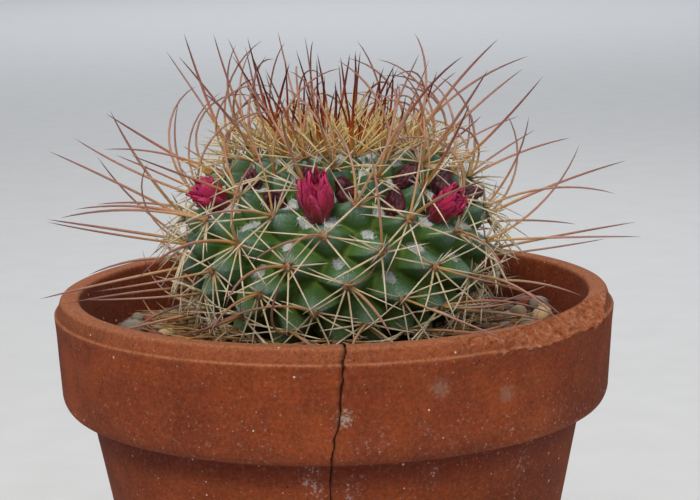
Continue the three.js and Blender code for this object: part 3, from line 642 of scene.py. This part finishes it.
def soil_bed():
    """Compost filling the pot, crumbly on top, with a plain well for the root."""
    foot_z, middle_z, edge = POT_FLOOR_Z + 0.3, 60.0, wall_radius_at(SOIL_TOP_Z) - 0.7
    section = [at(0, foot_z), at(wall_radius_at(POT_FLOOR_Z) - SOIL_GAP, foot_z),
               at(wall_radius_at(middle_z) - SOIL_GAP, middle_z)]
    section += [at(mix(edge, WELL_RADIUS, step / 34), SOIL_TOP_Z) for step in range(35)]
    section += [at(WELL_FOOT_RADIUS, WELL_FOOT_Z), at(0, WELL_FOOT_Z)]
    work = bmesh.new()
    spin_section(work, section, SOIL_COLUMNS)
    for corner in work.verts:
        radius = corner.co.xy.length
        if corner.co.z > SOIL_TOP_Z - 1 and radius > WELL_RADIUS + 0.5:
            heap = 0.7 * noise.noise(corner.co / 11) + 0.55 * noise.noise(corner.co / 3)
            crumb = 0.45 * noise.noise(corner.co / 1.2)
            corner.co.z += heap + crumb - 0.4 + 0.8 * smooth(edge - 6, edge, radius)
    finish_piece(work, "compost", dry_compost(), "soil", "soil")


def grit():
    """Gravel strewn on the compost, mostly in the gap between the plant and the pot."""
    draw = Random(11)
    work = bmesh.new()
    layers = float_layers(work, "tint")
    for stone in range(-len(PEBBLES), STONE_COUNT):
        size = draw.choice(STONE_SIZES) * draw.uniform(0.85, 1.15)
        outer = wall_radius_at(SOIL_TOP_Z) - size * 1.15 - 0.8
        radius = mix(27, outer, draw.random() ** 0.6)
        turn = draw.uniform(0, TURN)
        shade = draw.random()
        flat = draw.uniform(0.5, 0.8)
        place = at_turn(radius, turn, SOIL_TOP_Z + size * flat * draw.uniform(0.2, 0.75))
        if stone < 0:
            across, back, size, height, shade = PEBBLES[stone]
            place = Vector((across, back, SOIL_TOP_Z + height))
        subdivisions = 1 if size < 1.2 else 2
        made = bmesh.ops.create_icosphere(work, subdivisions=subdivisions, radius=size)["verts"]
        spot = noise_spot(draw, 99)
        turned = Matrix.Rotation(draw.uniform(0, TURN), 3, "Z") \
            @ Matrix.Rotation(draw.uniform(-0.4, 0.4), 3, "X")
        for corner in made:
            lump = 1 + 0.22 * noise.noise(corner.co / size * 0.9 + spot)
            corner.co = turned @ (corner.co * Vector((1.15, 0.92, flat)) * lump) + place
            corner[layers["tint"]] = shade
    finish_piece(work, "gravel", washed_gravel(), "soil")


# ---- Cactus body ----

def cactus_body():
    """The stem: an ellipsoid raised into tubercles, with a root going down into the well."""
    work = bmesh.new()
    layers = float_layers(work, "flank", "years", "cork")
    bmesh.ops.create_icosphere(work, subdivisions=7, radius=1.0)
    for corner in work.verts:
        direction = corner.co.normalized()
        height, corner[layers["flank"]] = tubercle_height(direction)
        corner[layers["years"]] = areole_tree.find(direction)[1] / (LAST_AREOLE - APEX_AREOLE)
        lump = 0.012 * noise.noise(direction * 5.5) + 0.005 * noise.noise(direction * 15)
        corner.co = plant_point(direction, height + lump)
        latitude = math.asin(max(-1.0, min(1.0, direction.z)))
        if latitude < ROOT_LATITUDE:
            sink = smooth(ROOT_LATITUDE, -math.pi / 2, latitude)
            squeeze = mix(1.0, 0.34, smooth(ROOT_LATITUDE, -1.2, latitude))
            corner.co = Vector((corner.co.x * squeeze, corner.co.y * squeeze,
                                mix(SOIL_TOP_Z + 0.5, ROOT_FOOT_Z, sink)))
        else:
            corner.co.z = max(corner.co.z, SOIL_TOP_Z - 0.6)
        low = smooth(SOIL_TOP_Z + 7, SOIL_TOP_Z + 1, corner.co.z)
        corner[layers["cork"]] = 0.8 * low * smooth(0.35, 0.75, 0.5 + noise.noise(corner.co / 3))
    bmesh.ops.recalc_face_normals(work, faces=work.faces)
    finish_piece(work, "cactus_stem", cactus_skin(), "cactus_skin", "cactus")


# ---- Spines ----

RADIAL_SPOKES = (0, 32, -32, 66, -66, 96, -96, 130, -130)
BRISTLE_SPOKES = (16, -50, 82, -170)
LEAN_TRIALS = 26


class SpineBed:
    """Collects spines or hairs of one kind: copies of one needle, each bent to its own course."""

    def __init__(self, sides, rings):
        self.sides, self.rings, self.spines = sides, rings, []

    def grow(self, spine, years):
        """Adds a spine; years is 0 for a new one and 1 for an old one."""
        self.spines.append((spine, spine_over(spine), years))

    def finish(self, name, material):
        work = bmesh.new()
        layers = float_layers(work, "along", "years")
        number = work.verts.layers.int.new("number")
        # A straight needle of unit length and radius on +Z, in rings, closed at both ends
        needle = bmesh.ops.create_cone(work, cap_ends=True, segments=self.sides, radius1=1, radius2=1,
                                       depth=1)
        bmesh.ops.translate(work, vec=(0, 0, 0.5), verts=needle["verts"])
        for ring in range(1, self.rings):
            bmesh.ops.bisect_plane(work, geom=work.verts[:] + work.edges[:] + work.faces[:],
                                   plane_co=(0, 0, ring / self.rings), plane_no=(0, 0, 1))
        count = 1
        while count < len(self.spines):
            copied = bmesh.ops.duplicate(work, geom=work.verts[:] + work.edges[:] + work.faces[:])["geom"]
            for item in copied:
                if isinstance(item, bmesh.types.BMVert):
                    item[number] += count
            count *= 2
        spare = [corner for corner in work.verts if corner[number] >= len(self.spines)]
        bmesh.ops.delete(work, geom=spare, context="VERTS")
        for corner in work.verts:
            spine, over, years = self.spines[corner[number]]
            along = corner.co.z
            corner[layers["along"]] = along
            corner[layers["years"]] = years
            turned = spine["bend"] * along
            across = over * math.cos(turned) - spine["course"] * math.sin(turned)
            wide = spine["thickness"] / 2 * spine_taper(along)
            corner.co = spine_point(spine, along, over) \
                + (spine["course"].cross(over) * corner.co.x + across * corner.co.y) * wide
        bmesh.ops.recalc_face_normals(work, faces=work.faces)
        finish_piece(work, name, material, "cactus_skin")


def make_spine(root, course, length, thickness, towards, bend):
    """A spine that leaves its root along course and turns towards a direction, by bend in all."""
    return {"root": root, "course": course.normalized(), "length": length, "thickness": thickness,
            "towards": towards, "bend": bend if abs(bend) > 0.01 else 0.01}


def spine_over(spine):
    """The direction across the spine that it bends to."""
    course, towards = spine["course"], spine["towards"]
    return (towards - course * towards.dot(course)).normalized()


def spine_taper(along):
    """Thickness along a spine: a slightly swollen foot, a long even taper and a sharp tip."""
    foot = 1 + 0.3 * (1 - smooth(0.0, 0.07, along))
    return foot * (1 - 0.24 * along) * (1 - along ** 5) ** 0.8 + 0.03


def spine_point(spine, along, over):
    """A point on the spine, which is an arc of a circle."""
    bend, length = spine["bend"], spine["length"]
    forward = math.sin(bend * along) / bend
    sideways = (1 - math.cos(bend * along)) / bend
    return spine["root"] + (spine["course"] * forward + over * sideways) * length


def areole_frame(k):
    """The ways out, east and north at an areole, and its place."""
    direction = areole_direction(k)
    out = plant_normal(direction)
    turn = turn_of(k)
    east = Vector((math.cos(turn), math.sin(turn), 0))
    return out, east, out.cross(east), plant_point(direction, 1.0)


def point_is_clear(point):
    """Whether a spine's point is clear of the pot, the soil, the flowers and the part's own limits."""
    radius = point.xy.length
    if point.z < SOIL_TOP_Z + 0.8 + 1.2 * (radius > 46):
        return False
    if max(abs(point.x), abs(point.y)) > REACH or point.z > TOP_Z:
        return False
    if MOUTH_RADIUS - 1.5 < radius < BEAD_RADIUS + 1 and point.z < POT_HEIGHT + 0.6:
        return False
    for base, axis, length, wide in seats:
        away = point - base
        along = away.dot(axis)
        if -1 < along < length and (away - axis * along).length < wide + 0.2:
            return False
    return True


def lean_clear(spine, draw):
    """Leans a spine up or aside a little at a time until it is clear, and says whether it is."""
    course, length = spine["course"], spine["length"]
    aside = Vector((-spine["root"].y, spine["root"].x, 0)).normalized()
    hand = draw.choice((-1, 1))
    for trial in range(LEAN_TRIALS):
        lean = aside * hand * (0.07 if trial % 2 else -0.07) * trial + UP * 0.045 * trial
        spine["course"] = (course + lean).normalized()
        spine["length"] = length * (1 - 0.012 * trial)
        over = spine_over(spine)
        if all(point_is_clear(spine_point(spine, step / 18, over)) for step in range(3, 19)):
            return True
    return False


def radial_spines(bed, k, draw):
    """A star of straight thin spines round the areole; young ones stand up in a bunch."""
    out, east, north, foot = areole_frame(k)
    young = youth(k)
    rise = mix(0.34, 1.2, young ** 0.6) + 0.35 * smooth(0, CROWN_AREOLE, k)
    missing = 0.12 + 0.13 * smooth(-28, -16, k) * (1 - smooth(2, 12, k))
    for spoke in RADIAL_SPOKES + (BRISTLE_SPOKES if young > 0.3 else ()):
        if draw.random() < missing:
            continue
        angle = math.radians(spoke + draw.uniform(-13, 13) * (1 + young))
        aside = east * math.sin(angle) - north * math.cos(angle)
        length = 15.5 - 3.5 * smooth(60, 130, abs(spoke)) + draw.uniform(-2.8, 2.4)
        length *= mix(1.0, draw.uniform(0.7, 1.35), young)
        spine = make_spine(foot - out * 1.0 + aside * 0.45,
                           aside + out * (rise + draw.uniform(-0.12, 0.12) * (1 + 3 * young)),
                           length, draw.uniform(0.4, 0.56) * mix(1.0, 0.74, young),
                           out + east * draw.uniform(-0.6, 0.6), draw.uniform(-0.35, 0.12))
        if lean_clear(spine, draw):
            bed.grow(spine, smooth(-48, -4, k + draw.uniform(-10, 10)))


def fine_spines(bed, k, draw):
    """Two to four short hair-fine white spines at the top of the areole."""
    out, east, north, foot = areole_frame(k)
    for _ in range(draw.randint(2, 4)):
        angle = math.radians(180 + draw.uniform(-42, 42))
        aside = east * math.sin(angle) - north * math.cos(angle)
        spine = make_spine(foot - out * 0.8 + aside * 0.4, aside + out * 0.75, draw.uniform(3.2, 6.0), 0.3,
                           out, draw.uniform(-0.3, 0.3))
        if lean_clear(spine, draw):
            bed.grow(spine, 0.8)


def central_plan(k, draw):
    """The elevation, length, bend and age of each long spine of an areole."""
    latitude = math.degrees(latitude_of(k))

    def pick(middle, reach, *ranges):
        return [middle + draw.uniform(*reach)] + [draw.uniform(*span) for span in ranges]

    if youth(k) > 0.1:
        plan = [pick(0, (50, 98), (13, 24), (-0.5, 0.5)), pick(0, (44, 104), (9, 19), (-0.5, 0.5))]
        if draw.random() < 0.4:
            plan.append(pick(0, (54, 96), (24, 33), (-0.25, 0.25)))
        plan = [[*spine, 0.0] for spine in plan]
    elif latitude > 22:
        plan = []
        if draw.random() < 0.8:
            rise = mix(20, 56, smooth(22, 56, latitude))
            plan.append(pick(rise, (-12, 12), (28, 38), (-0.7, 0.3), (0.3, 0.9)))
        plan.append(pick(0, (36, 74), (27, 36), (1.4, 2.9), (0.6, 1.0)))
        if draw.random() < 0.5:
            plan.append(pick(0, (40, 84), (22, 31), (1.4, 3.1), (0.6, 1.0)))
    else:
        plan = [pick(9 + latitude * 0.9, (-12, 12), (31, 42), (-0.9, 0.15), (0.5, 1.0))]
        if latitude > 4 or draw.random() < 0.3:
            plan.append(pick(latitude, (16, 42), (25, 34), (0.2, 1.7), (0.5, 1.0)))
    return plan


def central_spines(bed, k, draw):
    """The long spines from the middle of the areole: one reaching out, and on the shoulders one that
    arches up and in over the crown. Those of the crown stand up, most of them still short."""
    out, east, _, foot = areole_frame(k)
    young = youth(k)
    plan = central_plan(k, draw)
    aside = 0.0
    if k in FRESH_AREOLES:
        # A flower stands over this areole, so its long spines hang to one side of it
        plan = [(elevation * 0.35, length, -abs(bend) * 0.7, years)
                for elevation, length, bend, years in plan]
        aside = -34
    for elevation, length, bend, years in plan:
        rise = math.radians(elevation)
        heading = turn_of(k) + math.radians(aside + draw.uniform(-17, 17) * (1 + 2.5 * young))
        level = at_turn(1, heading, 0)
        course = level * math.cos(rise) + UP * math.sin(rise)
        over = UP * math.cos(rise) - level * math.sin(rise) + east * draw.uniform(-0.8, 0.8)
        thickness = draw.uniform(0.56, 0.8) * mix(0.88, 1.05, smooth(15, 28, length)) \
            * mix(1.0, 0.88, smooth(0.8, 2.0, bend))
        spine = make_spine(foot - out * 1.0 + east * draw.uniform(-0.3, 0.3), course, length, thickness, over,
                           bend)
        if lean_clear(spine, draw):
            bed.grow(spine, years)


def all_spines():
    draw = Random(5)
    radials, fine, centrals = SpineBed(5, 6), SpineBed(3, 3), SpineBed(6, 11)
    for k in AREOLES:
        radial_spines(radials, k, draw)
        fine_spines(fine, k, draw)
        central_spines(centrals, k, draw)
    straw = spine_horn("straw_spine",
                       [(0.0, "#98662a"), (1.0, "#ccb07a"), (0.2, "#bc8c40"), (0.6, "#dcc484")],
                       [(0.0, "#96744a"), (1.0, "#ab9884"), (0.15, "#c6b38c"), (0.6, "#d6cab0")])
    horn = spine_horn("horn_spine",
                      [(0.0, "#cc9a44"), (1.0, "#160504"), (0.2, "#b8742c"), (0.4, "#9c4417"),
                       (0.62, "#6e1c0a")],
                      [(0.0, "#c09a5e"), (1.0, "#4a2a26"), (0.2, "#b8946c"), (0.5, "#b08a78"),
                       (0.85, "#966c64")])
    hair = spine_horn("hair_spine", [(0.0, "#d8d0bc"), (1.0, "#efe9da")],
                      [(0.0, "#cdc4b0"), (1.0, "#e8e2d2")])
    radials.finish("radial_spines", straw)
    fine.finish("fine_spines", hair)
    centrals.finish("central_spines", horn)


# ---- Wool and areole pads ----

# Above the first of these areoles wool counts as the crown's, from the second on it is scantier, and the
# third is the last to have any
CROWN_WOOL, OLD_WOOL, LAST_WOOL = -12, 20, 45
AXIL_TUFT_HAIRS, CROWN_TUFT_HAIRS, CROWN_TUFTS = 140, 70, 30


def on_skin(point, lift):
    """The point of the skin that lies under a point near it, raised by lift."""
    direction = plant_normal(point - PLANT_CENTRE)
    return plant_point(direction, tubercle_height(direction)[0]) + plant_normal(direction) * lift


def tuft(lumps, hairs, centre, axis, size, count, years, draw):
    """A ragged patch of felt that lies on the skin, hidden under short curled hairs."""
    years_layer = lumps.verts.layers.float["years"]
    east = UP.cross(axis).normalized() if abs(axis.z) < 0.95 else Vector((1, 0, 0))
    up = axis.cross(east)
    made = bmesh.ops.create_icosphere(lumps, subdivisions=3, radius=1)["verts"]
    spot = noise_spot(draw, axes=3)
    for corner in made:
        ball = corner.co.copy()
        ragged = size * (1 + 0.5 * noise.noise(ball * 1.5 + spot) + 0.3 * noise.noise(ball * 4 + spot))
        spread = (east * ball.x * 1.25 + up * ball.y) * ragged
        lift = 0.55 * ball.z * (1 + 0.8 * noise.noise(ball * 3 - spot)) - 0.1
        corner.co = on_skin(centre + spread, lift)
        corner[years_layer] = years
    for _ in range(count):
        way = (axis * 0.7 + Vector([draw.gauss(0, 0.8) for _ in range(3)])).normalized()
        angle, away = draw.uniform(0, TURN), size * 1.1 * draw.random() ** 0.6
        root = on_skin(centre + east * 1.25 * away * math.cos(angle) + up * away * math.sin(angle), 0.1)
        length = draw.uniform(0.6, 1.6)
        towards = Vector([draw.gauss(0, 1) for _ in range(3)])
        hairs.grow(make_spine(root, way, length, 0.09, towards, draw.uniform(0.8, 2.8)), years)


def wool():
    """White wool in the axils and on both sides of the flowers, and on the crown; greyer lower down."""
    draw = Random(23)
    lumps, axil_hairs, crown_hairs = bmesh.new(), SpineBed(3, 2), SpineBed(3, 2)
    float_layers(lumps, "years")
    for k in range(APEX_AREOLE, LAST_WOOL + 1):
        if k > OLD_WOOL and draw.random() < 0.3:
            continue
        has_flower = k in FRESH_AREOLES or k in DRIED_AREOLES
        rise = mix(DRIED_RISE + 0.06 - 0.03 * has_flower, 0.07, youth(k))
        for hand in (-1, 1) if has_flower else (0,):
            size = draw.uniform(1.2, 1.75) - 0.3 * (k > OLD_WOOL)
            turned = turn_of(k) + AXIL_TURN + hand * draw.uniform(0.08, 0.1)
            direction = direction_at(turned, latitude_of(k) + rise)
            sits = plant_point(direction, tubercle_height(direction)[0])
            hairs = crown_hairs if k < CROWN_WOOL else axil_hairs
            tuft(lumps, hairs, sits, plant_normal(direction), size, AXIL_TUFT_HAIRS, smooth(0, 42, k), draw)
    for index in range(CROWN_TUFTS):
        spread = math.sqrt(index / CROWN_TUFTS) * 0.26
        sits = plant_point(direction_at(index * GOLDEN_TURN, math.pi / 2 - spread), 0.99)
        tuft(lumps, crown_hairs, sits, UP, draw.uniform(1.2, 1.8), CROWN_TUFT_HAIRS, 0.0, draw)
    felt = areole_wool("white_axil_wool", "#f0f4f4", "#bec6c6")
    hair = areole_wool("white_axil_hair", "#fbfeff", "#e8eeee")
    axil_hairs.finish("axil_hairs", hair)
    crown_hairs.finish("crown_hairs", hair)
    finish_piece(lumps, "axil_wool", felt, "cactus_skin")


def areole_pads():
    """The felted pad at each tubercle's tip that its spines grow from."""
    draw = Random(31)
    work = bmesh.new()
    for k in AREOLES:
        out, _, north, foot = areole_frame(k)
        size = mix(0.85, 0.65, youth(k)) * draw.uniform(0.85, 1.15)
        made = bmesh.ops.create_icosphere(work, subdivisions=2, radius=size)["verts"]
        for corner in made:
            ragged = 1 + 0.3 * noise.noise(corner.co * 1.7 + foot)
            corner.co = foot - out * 0.35 + (corner.co - out * corner.co.dot(out) * 0.45) * ragged \
                + north * 0.3 * corner.co.dot(north)
    felt = areole_wool("brown_areole_felt", "#b0875a", "#6a4526")
    finish_piece(work, "areole_felt", felt, "cactus_skin")


# ---- Flowers ----

TUBE_COLUMNS, DRIED_COLUMNS = 20, 48
# Whorls of a fresh flower, outermost first: petals, where they start and end up the flower, their width
# and how far in they stand
WHORLS = ((4, 0.0, 0.6, 3.4, 0.0), (5, 0.0, 0.86, 3.2, 0.25), (6, 0.04, 0.97, 2.7, 0.5),
          (7, 0.1, 1.0, 2.0, 0.9), (6, 0.3, 1.0, 1.6, 1.5), (5, 0.4, 0.95, 1.4, 2.1))


def finish_flower(work, name, material, slot, k, upright, rise):
    """Places a flower built on +Z at its axil, in place of the frame's plain one."""
    base, axis = flower_seat(k, upright, rise)
    to_seat = Matrix.Translation(base) @ UP.rotation_difference(axis).to_matrix().to_4x4()
    bmesh.ops.transform(work, matrix=to_seat, verts=work.verts)
    finish_piece(work, name.replace("flower", "bloom"), material, slot, name)


def petal_strip(work, layers, length, width, shape, turn, lean, spot):
    """One petal: a grid cupped along its rib, bent by shape(along) -> (radius, height)."""
    made = bmesh.ops.create_grid(work, x_segments=6, y_segments=10, size=0.5)["verts"]
    faces = {face for corner in made for face in corner.link_faces}
    turned = Matrix.Rotation(turn, 3, "Z")
    for corner in made:
        across, along = corner.co.x * 2, corner.co.y + 0.5
        radius, height = shape(along)
        wide = width * (0.62 + 0.38 * math.sin(math.pi * min(1, along * 0.9 + 0.1))) * (1 - along ** 6) ** 0.5
        crease = noise.noise(Vector((across * 1.6, along * 3.0, 0)) + spot)
        cup = 0.3 * wide * across * across + 0.12 * math.cos(across * 7) \
            + 0.95 * crease * smooth(0.0, 0.4, along)
        point = Vector((radius - cup, across * wide / 2 + lean * along * along, height * length))
        corner.co = turned @ point
        corner[layers["along"]] = min(1.0, height)
        corner[layers["across"]] = abs(across)
    bmesh.ops.solidify(work, geom=list(faces), thickness=0.2)


def flower_girth(height):
    """Half width of a fresh flower, as a share of its widest."""
    return 0.24 + 0.76 * math.sin(math.pi * min(1.0, 0.08 + 0.7 * height) ** 0.9)


def fresh_flower(k, name, material):
    """A half-open flower: whorls of petals that overlap like scales and curl out at their tips."""
    draw = Random(100 + k)
    work = bmesh.new()
    layers = float_layers(work, "along", "across")
    upright, length, widest = FRESH_AREOLES[k]
    girth = widest - 0.5
    tube = [at(girth * (0.82 - 0.075 * step) * flower_girth(step / 8), length * step / 9)
            for step in range(7)]
    spin_section(work, [at(0, 0), *tube, at(0, length * 0.7)], TUBE_COLUMNS)
    for corner in work.verts:
        corner[layers["along"]] = 0.7 * corner.co.z / length
    for whorl, (count, start, end, wide, inset) in enumerate(WHORLS):
        for index in range(count):
            curl = draw.uniform(-0.9, 0.9) if whorl > 1 else draw.uniform(-0.3, 0.6)
            tall = end * draw.uniform(0.76, 1.0)
            spot = noise_spot(draw)

            def shape(along, inset=inset, curl=curl, tall=tall, start=start):
                height = mix(start, tall, along)
                tip = smooth(0.55, 1.0, along) * curl
                return max(0.2, min(girth * flower_girth(height) - inset + tip, widest - 0.1)), height

            turn = (index + 0.5 * whorl) * TURN / count + draw.uniform(-0.25, 0.25)
            petal_strip(work, layers, length, wide * draw.uniform(0.8, 1.1), shape, turn,
                        draw.uniform(-0.9, 0.9), spot)
    finish_flower(work, name, material, "fresh_petal", k, upright, FRESH_RISE)


def dried_flower(k, name, material):
    """A shrivelled flower: a pleated ball whose petals are twisted together into a short crooked tip."""
    draw = Random(300 + k)
    work = bmesh.new()
    layers = float_layers(work, "along", "across")
    steps, pleats = 20, draw.choice((7, 8, 9))
    section = []
    for step in range(steps + 1):
        along = step / steps
        swell = math.sin(math.pi * min(1.0, 0.1 + 0.9 * along ** 0.8)) ** 0.75 \
            + 0.22 * smooth(0.6, 0.95, along)
        section.append(at(DRIED_RADIUS * 0.97 * min(1.0, swell), DRIED_LENGTH * along))
    spin_section(work, section, DRIED_COLUMNS)
    twist = draw.choice((-1, 1)) * draw.uniform(0.4, 1.0)
    lean = noise_spot(draw, 1) * 1.3
    spot = noise_spot(draw)
    tall = draw.uniform(0.66, 0.84)
    for corner in work.verts:
        along = corner.co.z / DRIED_LENGTH
        angle = math.atan2(corner.co.y, corner.co.x)
        crease = Vector((corner.co.x / 1.5, corner.co.y / 1.5, corner.co.z / 3.6)) + spot
        pleat = abs(math.sin(angle * pleats / 2 + 4.0 * noise.noise(corner.co / 3 + spot)))
        fold = 0.3 * pleat + 0.4 * min(1.0, 3.4 * abs(noise.noise(crease))) \
            + 0.3 * min(1.0, 3.4 * abs(noise.noise(crease * 2.1)))
        rough = 1.2 - 0.5 * smooth(0.02, 0.3, along) * (1 - fold) + 0.25 * noise.noise(corner.co / 2.2 + spot)
        bent = angle + twist * along
        radius = min(corner.co.xy.length * rough, DRIED_RADIUS)
        ragged = 0.9 * fold * smooth(0.8, 1.0, along)
        height = min(corner.co.z * tall + ragged, DRIED_LENGTH)
        corner.co = Vector((radius * math.cos(bent), radius * math.sin(bent), height)) \
            + lean * smooth(0.5, 1.0, along)
        corner[layers["along"]] = along
        # The ridges of the folds take the petal's rim colour, a painted highlight
        corner[layers["across"]] = fold
    finish_flower(work, name, material, "dried_petal", k, DRIED_UPRIGHT, DRIED_RISE)


def all_flowers():
    magenta = petal_skin("fresh_magenta_petal", [(0.0, "#4c080a"), (1.0, "#cc2268"), (0.3, "#840a1c"),
                                                 (0.6, "#9e0e3e")], "#cc4078", 0.05)
    # The dried petals' rim colour, #8c3e4e, is a painted highlight on the ridges of their folds
    burgundy = petal_skin("dried_burgundy_petal", [(0.0, "#2c090c"), (1.0, "#300a14"), (0.5, "#3c0d18")],
                          "#8c3e4e", 0.0)
    for index, k in enumerate(FRESH_AREOLES, 1):
        fresh_flower(k, f"flower_fresh_{index}", magenta)
    for index, k in enumerate(DRIED_AREOLES, 1):
        dried_flower(k, f"flower_dried_{index}", burgundy)


# ---- Dead spines on the soil ----

DEAD_SPINE_COUNT = 430


def dead_spines():
    """Shed straw-coloured spines lying in heaps round the foot of the plant."""
    draw = Random(47)
    bed = SpineBed(4, 5)
    for _ in range(DEAD_SPINE_COUNT):
        turn = draw.uniform(0, TURN)
        radius = mix(30, 48, draw.random() ** 1.5)
        start = at_turn(radius, turn, SOIL_TOP_Z + draw.uniform(1.0, 1.5 + 5.0 * smooth(46, 32, radius)))
        course = at_turn(1, turn + draw.gauss(0, 0.9), draw.uniform(-0.1, 0.22))
        length, thickness = draw.uniform(7, 17), draw.uniform(0.35, 0.6)
        towards = Vector((draw.gauss(0, 1), draw.gauss(0, 1), draw.uniform(-0.3, 0.3)))
        spine = make_spine(start, course, length, thickness, towards, draw.uniform(0, 0.7))
        tip = spine_point(spine, 1.0, spine_over(spine))
        if tip.xy.length < wall_radius_at(SOIL_TOP_Z) - 1 and tip.z > SOIL_TOP_Z + 0.6:
            bed.grow(spine, draw.random())
    straw = spine_horn("dead_straw", [(0.0, "#8a6030"), (1.0, "#9c7440"), (0.5, "#b48c4e")],
                       [(0.0, "#6a4a2a"), (1.0, "#8a6c48"), (0.5, "#a08258")])
    bed.finish("dead_spines", straw)


# ---- Studio ----

CAMERA_BACK, CAMERA_ABOVE_RIM = 496.72, 98.95
CAMERA_YAW, CAMERA_PITCH, CAMERA_ROLL = 0.0086, 0.1784, -0.0204
PHOTO_WIDTH, FOCAL_PIXELS, SENSOR = 700, 2000, 36.0
# Each lamp, in metres: its place, the point it faces, its size, power and colour
PLANT_MIDDLE = (0, 0, 0.13)
LAMPS = {"key": ((-0.3, -0.85, 1.15), PLANT_MIDDLE, 0.45, 12.5, "#fff6ea"),
         "fill": ((0.9, -0.9, 0.6), PLANT_MIDDLE, 0.9, 2.2, "#eef3ff"),
         "back": ((0.2, 0.8, 1.0), PLANT_MIDDLE, 0.7, 3.5, "#ffffff"),
         "far_room": ((0, 3.2, 2.2), (0, 3.4, 0), 2.4, 42, "#f4f6fa"),
         "near_room": ((0, -3.2, 2.2), (0, -3.4, 0), 2.4, 42, "#f4f6fa")}


def camera():
    """The photograph's viewpoint: 50 cm away, a hand's breadth above the rim, looking 10 degrees down."""
    data = bpy.data.cameras.new("camera")
    data.sensor_width = SENSOR
    data.lens = FOCAL_PIXELS / PHOTO_WIDTH * SENSOR
    data.clip_start = 0.02
    eye = new_object("camera", data)
    turned = Matrix.Rotation(-CAMERA_YAW, 4, "Z") @ Matrix.Rotation(math.pi / 2 - CAMERA_PITCH, 4, "X") \
        @ Matrix.Rotation(CAMERA_ROLL, 4, "Z")
    place = Vector((0, -CAMERA_BACK, POT_HEIGHT + CAMERA_ABOVE_RIM)) * MM
    eye.matrix_world = Matrix.Translation(place) @ turned
    bpy.context.scene.camera = eye


def studio():
    """A plain pale floor and soft light, mostly from the front left above."""
    paper = Finish("pale_paper")
    fibre = paper.add("TexNoise", {"Scale": 40.0, "Detail": 3})
    tone = paper.add("ValToRGB", {"Fac": fibre}, [(0.3, "#d6d7d8"), (0.7, "#dadbdc")])
    work = bmesh.new()
    bmesh.ops.create_grid(work, x_segments=2, y_segments=2, size=9.0)
    floor = new_mesh_object(work, "floor", paper.shade({"Base Color": tone, "Roughness": 0.9}))
    for name, (place, target, size, power, colour) in LAMPS.items():
        data = bpy.data.lights.new(name, "AREA")
        data.shape = "DISK"
        data.size = size
        data.energy = power
        data.color = linear(colour)[:3]
        light = new_object(name, data)
        light.location = place
        light.rotation_euler = (Vector(target) - Vector(place)).to_track_quat("-Z", "Y").to_euler()
    world = bpy.data.worlds.new("soft_room")
    bpy.context.scene.world = world
    world.use_nodes = True
    sky = world.node_tree.nodes["Background"]
    sky.inputs["Color"].default_value = linear("#dfe3e8")
    sky.inputs["Strength"].default_value = 0.34
    bpy.context.scene.view_settings.view_transform = "Standard"


camera()
studio()
pot()
soil_bed()
grit()
cactus_body()
all_spines()
areole_pads()
wool()
all_flowers()
dead_spines()
